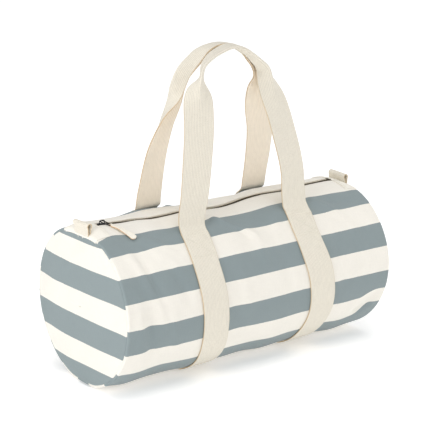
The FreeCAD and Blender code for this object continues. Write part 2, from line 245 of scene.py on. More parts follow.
def lattice(
    points: Array,
    cloth: Array,
    loop: bool = False,
    ring: bool = False,
    caps: bool = False,
    **values: Array,
) -> Patch:
    """Faces over a grid of points.

    Args:
        points: Rows by columns by 3.
        cloth: Rows by columns by 2, in metres.
        loop: Whether the last row joins the first.
        ring: Whether the last column joins the first.
        caps: Whether the first and last rows, which are rings, are closed with a face.
        **values: Further numbers at the points, rows by columns.

    Returns:
        The patch, with its faces one way or the other round.
    """
    rows, columns = points.shape[:2]
    index = np.arange(rows * columns).reshape(rows, columns)
    if loop:
        index = np.vstack([index, index[:1]])
    if ring:
        index = np.hstack([index, index[:, :1]])
    quads = np.stack([index[:-1, :-1], index[1:, :-1], index[1:, 1:], index[:-1, 1:]], -1)
    corners = [quads.reshape(-1)]
    sizes = [np.full(quads.size // 4, 4)]
    if caps:
        corners += [index[0, :columns], index[-1, :columns][::-1]]
        sizes.append(np.array([columns, columns]))
    return Patch(
        points.reshape(-1, 3),
        np.concatenate(corners),
        np.concatenate(sizes),
        cloth.reshape(-1, 2),
        {name: np.broadcast_to(item, (rows, columns)).reshape(-1) for name, item in values.items()},
    )


def tape_section(half: float, depth: float, count: int = 12) -> tuple[Array, Array, Array]:
    """The closed outline of a flat tape with soft edges.

    The faces are level but for the last 0.8 mm, where each comes in by t^3 of 70% of its height.

    Args:
        half: Half the width.
        depth: Thickness.
        count: Steps across each face.

    Returns:
        Places across, heights about the middle, and 1 at the edges falling to 0 inside them.
    """
    across = half * np.sin(np.linspace(-1, 1, count + 1) * np.pi / 2)
    near = np.clip(1 - (half - np.abs(across)) / (0.8 * MM), 0, 1)
    height = depth / 2 * (1 - 0.7 * near**3)
    return (
        np.concatenate([across, across[::-1]]),
        np.concatenate([height, -height[::-1]]),
        np.concatenate([near, near[::-1]]),
    )


def swept(
    path: Array,
    facing: Array,
    across: Array,
    height: Array,
    edge: Union[Array, float] = 0.0,
    closed: bool = False,
) -> Patch:
    """A section carried along a path: point = path + across * side + height * normal.

    Args:
        path: Points of the path.
        facing: The way that the outer face looks.
        across: Places across, one row for all or one for each point of the path.
        height: Heights along the normal, likewise.
        edge: The share of edge at each place of the section, which webbing finishes paint as shade.
        closed: Whether the path comes back to its start.

    Returns:
        The closed patch, facing outwards.
    """
    side, normal = framed(path, facing, closed)
    across = np.broadcast_to(across, (len(path), np.shape(across)[-1]))
    height = np.broadcast_to(height, across.shape)
    points = path[:, None] + across[..., None] * side[:, None] + height[..., None] * normal[:, None]
    run = np.broadcast_to(lengths(path)[:, None], across.shape)
    cloth = np.stack([across, run], -1)
    patch = lattice(points, cloth, loop=closed, ring=True, caps=not closed, edge=edge)
    return patch.outward()


def tube(path: Array, radius: float, facing: Array, closed: bool = False, sides: int = 12) -> Patch:
    """A round bar along a path."""
    turn = np.linspace(0, 2 * np.pi, sides, endpoint=False)
    return swept(path, facing, radius * np.cos(turn), radius * np.sin(turn), closed=closed)


def slab(outline: Array, low: float, high: float, bevel: float) -> Patch:
    """A flat plate with soft edges: its outline at four heights, drawn in at the first and last.

    Args:
        outline: Points by 2 in plan.
        low: Height of the underside.
        high: Height of the top.
        bevel: Size of the softened edge.

    Returns:
        The closed patch.
    """
    middle = outline.mean(axis=0)
    reach = np.linalg.norm(outline - middle, axis=1).mean()
    drawn = middle + (outline - middle) * (1 - bevel / reach)
    rings = [(drawn, low), (outline, low + bevel), (outline, high - bevel), (drawn, high)]
    points = np.stack([np.column_stack([ring, np.full(len(ring), z)]) for ring, z in rings])
    return lattice(points, points[..., :2], ring=True, caps=True).outward()


@dataclass(frozen=True)
class Seam:
    """The stitches of a row: the step from one to the next, their length and the thread's width."""

    pitch: float = 2.9 * MM
    length: float = 2.1 * MM
    width: float = 0.40 * MM

    def row(self, points: Array, up: Array) -> Patch:
        """Separate stitches along a line: each is a low bar whose ends dip into the cloth.

        Args:
            points: The line.
            up: The cloth's normal at each point.

        Returns:
            Closed bars of four rings of four points, joined in one patch.
        """
        run = lengths(points)
        count = max(2, int(run[-1] / self.pitch))
        middle = (np.arange(count) + 0.5) * run[-1] / count
        head, tail = (looked_up(middle + way * self.length / 2, run, points) for way in (1, -1))
        ahead = unit(head - tail)
        rise = unit(looked_up(middle, run, up))
        station = np.array([[-0.5], [-0.3], [0.3], [0.5]]) * self.length
        turn = np.radians([45, 135, 225, 315])
        girth = np.array([[0.5], [1], [1], [0.5]]) * self.width * 0.65
        dip = np.array([[-0.3], [0], [0], [-0.3]]) * self.width
        rings = [station + 0 * turn, girth * np.cos(turn), girth * np.sin(turn) + dip]
        local = np.stack(rings, -1)
        axes = np.stack([ahead, unit(np.cross(ahead, rise)), rise], 1)
        spots = looked_up(middle, run, points)[:, None] + local.reshape(-1, 3) @ axes
        return lattice(local, local[..., :2], ring=True, caps=True).repeated(spots).outward()


# ---- finishes


class Signal:
    """A shader socket that takes part in arithmetic."""

    def __init__(self, shader: "Shader", socket: bpy.types.NodeSocket) -> None:
        """Keeps the socket and the shader that it belongs to."""
        self.shader = shader
        self.socket = socket

    def math(self, operation: str, *others: "Operand") -> "Signal":
        """A Math node on this value and up to two more."""
        inputs = dict(enumerate([self, *others]))
        return self.shader.node("ShaderNodeMath", {"operation": operation}, inputs)

    def __add__(self, other: "Operand") -> "Signal":
        """The sum."""
        return self.math("ADD", other)

    def __sub__(self, other: "Operand") -> "Signal":
        """The difference."""
        return self.math("SUBTRACT", other)

    def __rsub__(self, other: float) -> "Signal":
        """A number less this value."""
        return self.math("MULTIPLY", -1.0).math("ADD", other)

    def __mul__(self, other: "Operand") -> "Signal":
        """The product."""
        return self.math("MULTIPLY", other)

    def __gt__(self, other: "Operand") -> "Signal":
        """1 where this value is greater."""
        return self.math("GREATER_THAN", other)

    def __abs__(self) -> "Signal":
        """The value without its sign."""
        return self.math("ABSOLUTE")

    __radd__ = __add__
    __rmul__ = __mul__


Operand = Union[Signal, float]
Colour = Triple
Tint = Union[Signal, Colour]


def linear(red: int, green: int, blue: int) -> Colour:
    """A colour as light, from its everyday numbers of 0 to 255."""
    shares = np.array([red, green, blue]) / 255
    light = np.where(shares <= 0.04045, shares / 12.92, ((shares + 0.055) / 1.055) ** 2.4)
    return tuple(float(share) for share in light)


class Shader:
    """A material's nodes, with its main shader ready."""

    def __init__(self, name: str, **constants: float) -> None:
        """Makes the material.

        Args:
            name: The material's name.
            **constants: Numbers set on the main shader's own sockets, underscores for spaces.
        """
        self.material = bpy.data.materials.new(name)
        self.material.use_nodes = True
        self.tree = self.material.node_tree
        self.main = self.tree.nodes["Principled BSDF"]
        for key, value in constants.items():
            self.main.inputs[key.replace("_", " ")].default_value = value

    def node(
        self, kind: str, settings: dict[str, object], inputs: dict, out: Union[int, str] = 0
    ) -> Signal:
        """Adds a node.

        Args:
            kind: The node's type.
            settings: Its settings, which are set first; "stops" are a ramp's places and greys.
            inputs: Values or signals for its sockets, by number or name.
            out: Which output is wanted.

        Returns:
            That output.
        """
        item = self.tree.nodes.new(kind)
        for name, value in settings.items():
            if name == "stops":
                for stop, (place, grey) in zip(item.color_ramp.elements, value):
                    stop.position, stop.color = place, (grey, grey, grey, 1)
            else:
                setattr(item, name, value)
        self.feed(item, inputs)
        return Signal(self, item.outputs[out])

    def feed(self, item: bpy.types.Node, inputs: dict) -> None:
        """Gives a node's sockets their values or links.

        Args:
            item: The node.
            inputs: Values or signals, by the socket's number or name.
        """
        for key, value in inputs.items():
            socket = item.inputs[key]
            if isinstance(value, Signal):
                self.tree.links.new(value.socket, socket)
            else:
                socket.default_value = (*value, 1) if socket.type == "RGBA" else value

    def attribute(self, name: str) -> Signal:
        """A number kept at the mesh's points."""
        return self.node("ShaderNodeAttribute", {"attribute_name": name}, {}, "Fac")

    def cloth(self) -> tuple[Signal, Signal, Signal]:
        """The piece's own coordinates in metres.

        Returns:
            Both together, then across and along.
        """
        both = self.node("ShaderNodeUVMap", {"uv_map": "cloth"}, {})
        across = self.node("ShaderNodeSeparateXYZ", {}, {0: both})
        return both, across, Signal(self, across.socket.node.outputs[1])

    def noise(self, vector: Signal, stretch: Triple, detail: float = 2.0) -> Signal:
        """Soft noise.

        Args:
            vector: The place.
            stretch: Cycles in a metre along each coordinate.
            detail: How many finer layers it has.

        Returns:
            Values of 0 to 1.
        """
        scaled = self.node(
            "ShaderNodeVectorMath", {"operation": "MULTIPLY"}, {0: vector, 1: stretch}
        )
        inputs = {"Vector": scaled, "Scale": 1.0, "Detail": detail}
        return self.node("ShaderNodeTexNoise", {"noise_dimensions": "3D"}, inputs)

    def mix(self, share: Operand, first: "Tint", second: "Tint", blend: str = "MIX") -> Signal:
        """One colour over another.

        Args:
            share: How much of the second shows.
            first: The colour below.
            second: The colour above.
            blend: How the second acts on the first.

        Returns:
            The colour.
        """
        settings = {"data_type": "RGBA", "blend_type": blend}
        return self.node("ShaderNodeMix", settings, {0: share, 6: first, 7: second}, 2)

    def shaded(self, colour: Signal, shade: Signal) -> Signal:
        """The colour multiplied by a grey shade."""
        parts = {"Red": shade, "Green": shade, "Blue": shade}
        return self.mix(1.0, colour, self.node("ShaderNodeCombineColor", {}, parts), "MULTIPLY")

    def finish(self, colour: Signal, height: Signal, depth: float, roughness: Operand) -> None:
        """Feeds the main shader.

        Args:
            colour: Base colour.
            height: Relief of 0 to 1.
            depth: What a relief of 1 stands for, in metres.
            roughness: Roughness.
        """
        inputs = {"Strength": 1.0, "Distance": depth, "Height": height}
        bump = self.node("ShaderNodeBump", {}, inputs, "Normal")
        self.feed(self.main, {"Base Color": colour, "Normal": bump, "Roughness": roughness})

    def weave(self, across: Signal, along: Signal, pitch: float) -> Signal:
        """The relief of a plain weave.

        Warp and weft are |sin| humps one pitch wide. The warp lies on top where the product of
        both sines is positive, and the weft elsewhere.

        Args:
            across: Place across the cloth.
            along: Place along it.
            pitch: Distance from yarn to yarn.

        Returns:
            Heights of 0 to 1.
        """
        a, b = ((place * (math.pi / pitch)).math("SINE") for place in (across, along))
        over = (a * b) > 0.0
        return abs(a) * over + abs(b) * (1.0 - over)


@dataclass(frozen=True)
class Finish:
    """A finish that is made once and used by name, and the record's material slot it stands for,
    which is not used.
    """

    name: str
    slot: str

    def material(self) -> bpy.types.Material:
        """The Blender material."""
        return bpy.data.materials.get(self.name) or self.paint()

    def paint(self) -> bpy.types.Material:
        """Makes the material's nodes."""
        raise NotImplementedError


@dataclass(frozen=True)
class Canvas(Finish):
    """Plain-woven cotton, printed in two colours by the piece's band value, or left plain."""

    light: Colour
    dark: Colour
    pitch: float = 0.75 * MM
    relief: float = 0.10 * MM

    def paint(self) -> bpy.types.Material:
        """Stripes with a slightly fuzzy edge, slubs along both yarns, the weave's relief, and
        painted shade where the yarns lie low.
        """
        shader = Shader(self.name, Sheen_Weight=0.12, Sheen_Roughness=0.6, Specular_IOR_Level=0.25)
        both, across, along = shader.cloth()
        weave = shader.weave(across, along, self.pitch)
        slub = shader.noise(both, (1500.0, 70.0, 1.0)) + shader.noise(both, (70.0, 1500.0, 1.0))
        mottle = shader.noise(both, (26.0, 26.0, 1.0), 3.0)
        fuzz = (shader.noise(both, (900.0, 900.0, 1.0), 1.0) - 0.5) * 0.03
        band = (shader.attribute("band") + fuzz).math("FLOOR").math("FLOORED_MODULO", 2.0)
        colour = shader.mix(band, self.dark, self.light)
        # Slubs and mottle are random tone; the weave term is painted shade, darker between the
        # yarns' crowns.
        shade = (slub - 1.0) * 0.10 + (mottle - 0.5) * 0.06 + (weave - 0.6) * 0.05 + 1.0
        toned_and_groove_shaded = shader.shaded(colour, shade)
        shader.finish(toned_and_groove_shaded, weave * 0.7 + slub * 0.3, self.relief, 0.92 - weave * 0.08)
        return shader.material


@dataclass(frozen=True)
class Webbing(Finish):
    """Heavy cotton webbing or tape: ribs along it, a fine weft across, seed flecks, tan edges that
    are painted shade along its sides, and inner faces painted lighter as painted light.
    """

    body: Colour
    fleck: Colour
    # edge: painted shade, a tan tint along the webbing's sides.
    edge: Colour
    # inner: painted light, a lighter cream for the handles' inner faces, standing in for the light
    # that falls on them.
    inner: Colour = linear(250, 240, 224)
    rib: float = 2.4 * MM
    relief: float = 0.25 * MM

    def paint(self) -> bpy.types.Material:
        """Ribs of |sin| section, a weft at a third of their pitch, slubs and darker flecks; painted
        shade between the ribs and weft yarns and along the edges, and painted light on the inner
        faces.
        """
        shader = Shader(self.name, Sheen_Weight=0.15, Sheen_Roughness=0.6, Specular_IOR_Level=0.25)
        both, across, along = shader.cloth()
        rib = abs((across * (math.pi / self.rib)).math("SINE"))
        weft = abs((along * (math.pi / (self.rib * 0.45)) + rib * 0.8).math("SINE"))
        slub = shader.noise(both, (900.0, 60.0, 1.0))
        mottle = shader.noise(both, (120.0, 120.0, 1.0), 4.0)
        seeds = shader.node(
            "ShaderNodeValToRGB",
            {"stops": [(0.60, 0.0), (0.72, 1.0)]},
            {0: shader.noise(both, (1300.0, 700.0, 1.0), 1.0)},
        )
        flecked = shader.mix(seeds * 0.38, self.body, self.fleck)
        # Painted light: the inner faces take the lighter inner cream, standing in for the light
        # that falls on them.
        inside = shader.mix(shader.attribute("inner"), flecked, self.inner)
        # Painted shade: the edges are tinted tan.
        edge_shaded = shader.mix(shader.attribute("edge") * 0.8, inside, self.edge)
        # Slub and mottle are random tone; the rib and weft terms are painted shade, darker between
        # the ribs and the weft yarns.
        shade = (slub - 0.5) * 0.20 + (mottle - 0.5) * 0.08 + (rib - 0.6) * 0.20
        toned_and_groove_shaded = shader.shaded(edge_shaded, shade + (weft - 0.6) * 0.10 + 1.0)
        shader.finish(toned_and_groove_shaded, rib * 0.6 + weft * 0.3 + slub * 0.1, self.relief, 0.95 - rib * 0.1)
        return shader.material


@dataclass(frozen=True)
class Thread(Finish):
    """Spun sewing thread."""

    colour: Colour
    twist: float = 0.35 * MM

    def paint(self) -> bpy.types.Material:
        """Slanting plies as relief, with a slight painted shade that darkens the grooves between
        the plies.
        """
        shader = Shader(self.name, Sheen_Weight=0.2, Specular_IOR_Level=0.4)
        _, across, along = shader.cloth()
        ply = abs(((across + along) * (math.pi / self.twist)).math("SINE"))
        # Painted shade: the grooves between the plies are darker.
        dull = tuple(0.8 * share for share in self.colour)
        colour = shader.mix(ply, dull, self.colour)
        shader.finish(colour, ply, 0.05 * MM, 0.7)
        return shader.material


@dataclass(frozen=True)
class Metal(Finish):
    """Cast or drawn metal with a worn plating."""

    deep: Colour
    bright: Colour
    gloss: float = 0.3

    def paint(self) -> bpy.types.Material:
        """Brighter where fine wear has rubbed the plating, with a faint cast grain."""
        shader = Shader(self.name, Metallic=0.9, Specular_IOR_Level=0.5)
        place = shader.node("ShaderNodeTexCoord", {}, {}, "Object")
        grain = shader.noise(place, (2400.0, 2400.0, 2400.0), 2.0)
        wear = shader.noise(place, (420.0, 420.0, 420.0), 3.0)
        rubbed = shader.node("ShaderNodeValToRGB", {"stops": [(0.45, 0.0), (0.75, 1.0)]}, {0: wear})
        colour = shader.mix(rubbed, self.deep, self.bright)
        shader.finish(colour, grain, 0.03 * MM, self.gloss + grain * 0.25)
        return shader.material


@dataclass(frozen=True)
class Paper(Finish):
    """A pale matt floor."""

    colour: Colour

    def paint(self) -> bpy.types.Material:
        """Almost even, with a slow change of tone."""
        shader = Shader(self.name, Specular_IOR_Level=0.1, Emission_Strength=0.24)
        place = shader.node("ShaderNodeTexCoord", {}, {}, "Object")
        tone = shader.noise(place, (1.5, 1.5, 1.5))
        dull = tuple(0.985 * share for share in self.colour)
        shader.finish(shader.mix(tone, dull, self.colour), tone, 0.01 * MM, 0.9)
        return shader.material


class Finishes(Enum):
    """The bag's finishes."""

    STRIPES = Canvas(
        "stripe_weave", "striped_canvas", linear(239, 235, 226), linear(137, 149, 151)
    )
    LINING = Canvas("plain_weave", "natural_canvas", linear(242, 238, 228), linear(242, 238, 228))
    # Each webbing's third colour is its edge tint, painted shade along its sides.
    WEBBING = Webbing(
        "webbing_weave",
        "webbing",
        linear(226, 220, 206),
        linear(172, 152, 120),
        linear(190, 160, 115),
    )
    PULL_TAPE = Webbing(
        "pull_tape_weave",
        "puller_tape",
        linear(238, 233, 220),
        linear(206, 194, 170),
        linear(206, 158, 104),
        rib=1.0 * MM,
        relief=0.08 * MM,
    )
    ZIP_TAPE = Webbing(
        "zip_tape_weave",
        "zip_tape",
        linear(232, 224, 205),
        linear(205, 190, 160),
        linear(205, 190, 160),
        rib=0.8 * MM,
        relief=0.08 * MM,
    )
    SEAM_TAPE = Webbing(
        "seam_tape_weave",
        "binding_tape",
        linear(228, 220, 200),
        linear(200, 186, 160),
        linear(205, 190, 160),
        rib=1.0 * MM,
        relief=0.08 * MM,
    )
    THREAD = Thread("spun_thread", "thread", linear(246, 241, 228))
    TEETH = Metal("antique_brass", "zip_teeth", linear(74, 66, 48), linear(128, 114, 84), 0.34)
    GUNMETAL = Metal("gunmetal", "slider_metal", linear(46, 45, 47), linear(96, 94, 96), 0.24)
    FLOOR = Paper("pale_floor", "", linear(252, 252, 252))


class Smooth(Enum):
    """How faces meet: as one soft surface, or creased where they turn by more than 40 degrees."""

    SOFT = math.pi
    CREASED = math.radians(40)


Bend = Union[tuple[str, Triple, Triple], None]


@dataclass(frozen=True)
class Sewn:
    """How a patch becomes a piece of the bag.

    Attributes:
        name: The piece's name.
        finish: Its finish.
        nodes: CAD nodes that it stands for.
        body: The CAD body that it rides on.
        smooth: How its faces meet.
    """

    name: str
    finish: Finishes
    nodes: tuple[str, ...] = ()
    body: str = ROOT
    smooth: Smooth = Smooth.SOFT

    def place(self, patch: Patch, bends: Bend = None) -> bpy.types.Object:
        """Puts the patch in the scene, and on its body unless bends are given.

        Args:
            patch: The surface.
            bends: A second body, with the points where a bend to it would start and end; only
                whether it is given is read, and then the piece is left in the scene's frame.

        Returns:
            The piece.
        """
        mesh = bpy.data.meshes.new(self.name)
        mesh.vertices.add(len(patch.points))
        mesh.vertices.foreach_set("co", patch.points.astype(np.float32).ravel())
        mesh.loops.add(len(patch.corners))
        mesh.loops.foreach_set("vertex_index", patch.corners.astype(np.int32))
        mesh.polygons.add(len(patch.sizes))
        starts = (np.cumsum(patch.sizes) - patch.sizes).astype(np.int32)
        mesh.polygons.foreach_set("loop_start", starts)
        mesh.update(calc_edges=True)
        mesh.validate()
        layer = mesh.uv_layers.new(name="cloth")
        layer.data.foreach_set("uv", patch.cloth[patch.corners].astype(np.float32).ravel())
        for name, numbers in patch.values.items():
            store = mesh.attributes.new(name, "FLOAT", "POINT")
            store.data.foreach_set("value", numbers.astype(np.float32))
        mesh.polygons.foreach_set("use_smooth", np.ones(len(patch.sizes), bool))
        if self.smooth is not Smooth.SOFT:
            mesh.set_sharp_from_angle(angle=self.smooth.value)
        mesh.materials.append(self.finish.value.material())
        piece = bpy.data.objects.new(self.name, mesh)
        bpy.context.scene.collection.objects.link(piece)
        if bends:
            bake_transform(piece)
        else:
            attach(piece, self.body)
        if self.nodes:
            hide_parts(*self.nodes)
        LOG.info("%s: %d points, %d faces", self.name, len(patch.points), len(patch.sizes))
        return piece

    def thickened(self, patch: Patch, thickness: float) -> None:
        """Places the patch as the outer face of cloth with a thickness."""
        thick = self.place(patch).modifiers.new("canvas_thickness", "SOLIDIFY")
        thick.thickness, thick.offset = thickness, -1


# ---- the drum's surface


FOLD_SCALE = 1.9


@dataclass(frozen=True)
class Fold:
    """A soft fold of the cloth along a straight line on the unrolled drum.

    Attributes:
        start: X in millimetres and angle in degrees of one end.
        end: The other end.
        width: Half width in millimetres.
        depth: Height in millimetres, negative for a hollow.
        lean: How much higher one flank is than the other.
    """

    start: tuple[float, float]
    end: tuple[float, float]
    width: float
    depth: float
    lean: float = 0.0

    def height(self, x: Array, run: Array, radius: float) -> Array:
        """The fold's height at places on the unrolled drum.

        The height is depth * (1 + lean * s) * exp(-s^2 - e^2), where s is the distance from the
        fold's line in widths, and e how far the place is past the middle 60% of its length,
        divided by a fifth of the length and one width together.

        Args:
            x: Places along the drum.
            run: Places round it, as lengths of arc.
            radius: The drum's radius.

        Returns:
            Heights in metres.
        """
        a, b = (np.array([p[0] * MM, math.radians(p[1]) * radius]) for p in (self.start, self.end))
        span = np.linalg.norm(b - a)
        along = (b - a) / span
        t = (x - a[0]) * along[0] + (run - a[1]) * along[1]
        s = ((x - a[0]) * along[1] - (run - a[1]) * along[0]) / (self.width * MM)
        past = np.maximum(np.abs(t - span / 2) - span * 0.3, 0) / (span * 0.2 + self.width * MM)
        flank = 1 + self.lean * np.clip(s, -1.5, 1.5)
        return FOLD_SCALE * self.depth * MM * flank * np.exp(-(s**2) - past**2)


@dataclass(frozen=True)
class Drum:
    """The sewn canvas drum, as a height over its own cylinder at each place.

    Attributes:
        radius: Radius of the canvas.
        half_length: Half the drum's length.
        axis: Height of the axis.
        floor: Height of the underside of the canvas, which stands on the straps' thickness.
        rounding: Radius with which the wall turns into its end seams.
        mouth: Half the width between the lips beside the zip.
        canvas: Thickness of the canvas.
        zip_height: Height of the zip where it doesn't sag.
        zip_line: X and height of the zip's middle in millimetres.
        folds: The cloth's folds.
        waves: How many slow waves the cloth has.
        seed: The start of their random draws.
        wave: Height of the longest wave.
        pulls: Angle in degrees and height of the lift under a strap's end.
        belly: How far the cloth swells at the underside.
        lip: How far the lips dip beside the zip.
        flare: How far the front's right end stands out.
    """

    radius: float = 0.120
    half_length: float = 0.245
    axis: float = 0.120
    floor: float = 0.002
    rounding: float = 0.0024
    mouth: float = 0.0058
    canvas: float = 0.0015
    zip_height: float = 0.237
    zip_line: tuple[tuple[float, float], ...] = (
        (-245, 229.5), (-238, 233), (-229, 236.4), (-216, 237.7), (-203, 237.3), (-188, 236.4),
        (-173, 235), (-144, 233.6), (-116, 232), (-94, 232), (-69, 233), (-45, 230.6),
        (-22, 228.6), (-5, 228.2), (27, 230.5), (55, 234.6), (79, 236), (100, 235.4),
        (123, 234.6), (150, 236), (174, 237.4), (200, 237.6), (216, 237.7), (229, 236.4),
        (238, 233), (245, 229.5),
    )
    folds: tuple[Fold, ...] = (
        Fold((-48, 69), (8, 44), 6, 2.9, 0.5),
        Fold((-30, 60), (-2, 45), 6, -2.4),
        Fold((4, 48), (10, 26), 9, 1.6, 0.3),
        Fold((-214, 50), (-197, 22), 8, 1.5, 0.4),
        Fold((-199, 46), (-186, 14), 8, -1.5),
        Fold((-176, 50), (-146, 30), 9, 1.5, -0.4),
        Fold((-190, 66), (-150, 50), 9, 1.6, 0.4),
        Fold((-160, 40), (-138, 12), 8, -1.4, 0.3),
        Fold((-224, 20), (-223, -12), 8, 1.3, 0.3),
        Fold((-192, 18), (-180, -14), 8, 1.3),
        Fold((-206, 8), (-199, -26), 8, -1.4, 0.3),
        Fold((-168, 4), (-156, -30), 9, 1.0),
        Fold((-40, 24), (-28, -8), 10, 1.1, 0.4),
        Fold((40, 40), (52, 2), 10, -0.9),
        Fold((60, 60), (44, 34), 9, 1.0),
        Fold((146, 66), (182, 44), 9, 1.5, 0.4),
        Fold((170, 62), (220, 56), 8, -1.4),
        Fold((150, 30), (158, -6), 9, -1.0, 0.4),
        Fold((190, 34), (206, 8), 9, 1.1),
        Fold((196, -34), (232, -20), 10, -2.6, 0.5),
        Fold((-216, 128), (-184, 152), 8, 1.6, 0.4),
        Fold((-60, 116), (-20, 138), 8, 2.4, 0.5),
        Fold((-34, 122), (6, 128), 8, -1.8),
        Fold((40, 134), (66, 170), 9, 1.3),
        Fold((160, 122), (206, 140), 9, 1.7, -0.4),
        Fold((-170, 160), (-150, 200), 9, 1.2, 0.4),
        Fold((-20, 176), (-8, 206), 10, 1.0),
        Fold((186, 160), (200, 196), 9, -1.2),
        Fold((-208, 176), (-196, 206), 9, -1.2),
    )
    waves: int = 12
    seed: int = 11
    wave: float = 0.7 * MM
    pulls: tuple[tuple[float, float], ...] = ((60, 1.6 * MM), (120, 3.0 * MM))
    belly: float = 2.0 * MM
    lip: float = 1.1 * MM
    flare: float = 4.5 * MM

    def sag(self, x: Array) -> Array:
        """How far the zip hangs below its straight line at places along the drum."""
        knots, heights = (np.array(row) * MM for row in zip(*self.zip_line))
        return self.zip_height - spline(np.ravel(x), knots, heights).reshape(np.shape(x))

    def strap_middle(self, angle: Array) -> tuple[Array, Array]:
        """Where the two straps' middles lie; they lean a little on the belly.

        Args:
            angle: Angles round the drum.

        Returns:
            X of the left strap and of the right one.
        """
        knots = np.radians([-90, -70, -52, -20, 9, 30, 41, 57, 90, 123, 150, 180, 210, 240, 270])
        left = [-76, -77, -78, -88, -94, -97, -96, -92.5, -90, -87, -88, -89, -86, -80, -76]
        right = [116, 115, 114.5, 115, 107, 99, 98, 103, 109, 115, 114, 112, 113, 115, 116]
        where = np.ravel(wrapped(angle))
        lines = (spline(where, knots, np.array(row) * MM) for row in (left, right))
        return tuple(line.reshape(np.shape(angle)) for line in lines)

    def relief(self, x: Array, angle: Array) -> Array:
        """Height of the cloth over its cylinder.

        It is the sum of slow waves round the drum, the named folds, a swelling low on the belly,
        a lift under the straps' ends, less the zip's sag and a dip at the lips. Waves and folds
        fade at the end seams and lie flat under the straps and the puller.

        Args:
            x: Places along the drum.
            angle: Angles round it.

        Returns:
            Heights in metres.
        """
        angle = wrapped(angle)
        x, angle = np.broadcast_arrays(x, angle)
        run = angle * self.radius
        draw = np.random.default_rng(self.seed)
        soft = np.zeros(x.shape)
        for _ in range(self.waves):
            length = draw.uniform(0.05, 0.16)
            slant = draw.normal(0, 0.30)
            turns = draw.integers(-3, 4)
            phase = draw.uniform(0, 2 * np.pi)
            swing = 2 * np.pi / length * (x + slant * 0.05 * np.sin(angle)) + turns * angle + phase
            soft += self.wave * length / 0.16 * np.sin(swing) * draw.uniform(0.4, 1.0)
        for fold in self.folds:
            soft += fold.height(x, run, self.radius)
        seam = 1 - bell(self.half_length - np.abs(x), 16 * MM)
        calm = np.ones(x.shape)
        pull = np.zeros(x.shape)
        for middle in self.strap_middle(angle):
            calm -= 0.75 * np.exp(-(((x - middle) / (29 * MM)) ** 4))
            for place, height in self.pulls:
                near = bell(angle - math.radians(place), math.radians(9))
                pull += height * bell(x - middle, 36 * MM) * near
        back_left = bell(x + 112 * MM, 34 * MM) * bell(angle - math.radians(121), math.radians(8))
        pull += 3.5 * MM * back_left
        top = angle - np.pi / 2
        low = bell(angle + np.pi / 2, 0.9) + bell(angle - 3 * np.pi / 2, 0.9)
        lip = self.lip * bell(np.abs(self.radius * np.sin(top)) - self.mouth, 4 * MM)
        lip = lip * (np.cos(top) > 0)
        sunk = self.sag(x) * bell(top, math.radians(21))
        flare = self.flare * ramp(x, 0.165, 0.235) * bell(angle - 0.10, 0.60)
        rest = bell(angle - math.radians(72), math.radians(15))
        rest = rest * (0.7 * bell(x + 0.198, 20 * MM) + bell(x - 0.219, 22 * MM))
        soft = soft * (1 - 0.95 * rest) - 1.4 * MM * rest
        return soft * seam * calm + (self.belly * low + pull) * seam + flare - sunk - lip

    def place(self, x: Array, angle: Array, lift: Array) -> Array:
        """Points over the cloth: axis + (radius + relief + lift) outwards, settled on the floor.

        Within 3 mm of the floor a point's height over it is (over + 3)^2 / 12, which joins the
        round wall smoothly to the flat underside.

        Args:
            x: Places along the drum.
            angle: Angles round it.
            lift: Heights over the cloth.

        Returns:
            The points.
        """
        x, angle, lift = np.broadcast_arrays(x, angle, lift)
        reach = self.radius + self.relief(x, angle) + lift
        z = self.axis + reach * np.sin(angle)
        base = self.floor - lift
        over = z - base
        soft = 3 * MM
        z = np.where(
            over < -soft, base, np.where(over < soft, base + (over + soft) ** 2 / (4 * soft), z)
        )
        return np.stack([x, -reach * np.cos(angle), z], -1)

    def outward(self, angle: Array) -> Array:
        """The direction away from the axis."""
        angle = np.asarray(angle)
        return np.stack([np.zeros(angle.shape), -np.cos(angle), np.sin(angle)], -1)

    def stripe(self, x: Array, angle: Array) -> Array:
        """The running number of the printed stripe on the wall, from 0 at the top grey one.

        Edges lie at 67 - 15.7 k - 0.38 k^2 degrees on the front, mirrored on the back, and the
        number is that rule solved for k. It stays under 0 over the white top.

        Args:
            x: Places along the drum.
            angle: Angles round it.

        Returns:
            The numbers, whose whole part is the stripe.
        """
        angle = np.degrees(wrapped(angle))
        front = np.where(angle > 90, 180 - angle, angle)
        front = front - 12 * ramp(x, 0.193, 0.226) * bell(angle + 30, 15)
        high = bell(x + 0.217, 0.024) + bell(x - 0.12, 0.10) * 0.5
        front = front - 3.4 * high * bell(angle - 69, 12)
        first, step, growth = 67, 15.7, 0.38
        root = np.sqrt(np.maximum(step**2 + 4 * growth * (first - front), 0))
        number = (-step + root) / (2 * growth)
        return np.maximum(number, -0.9)


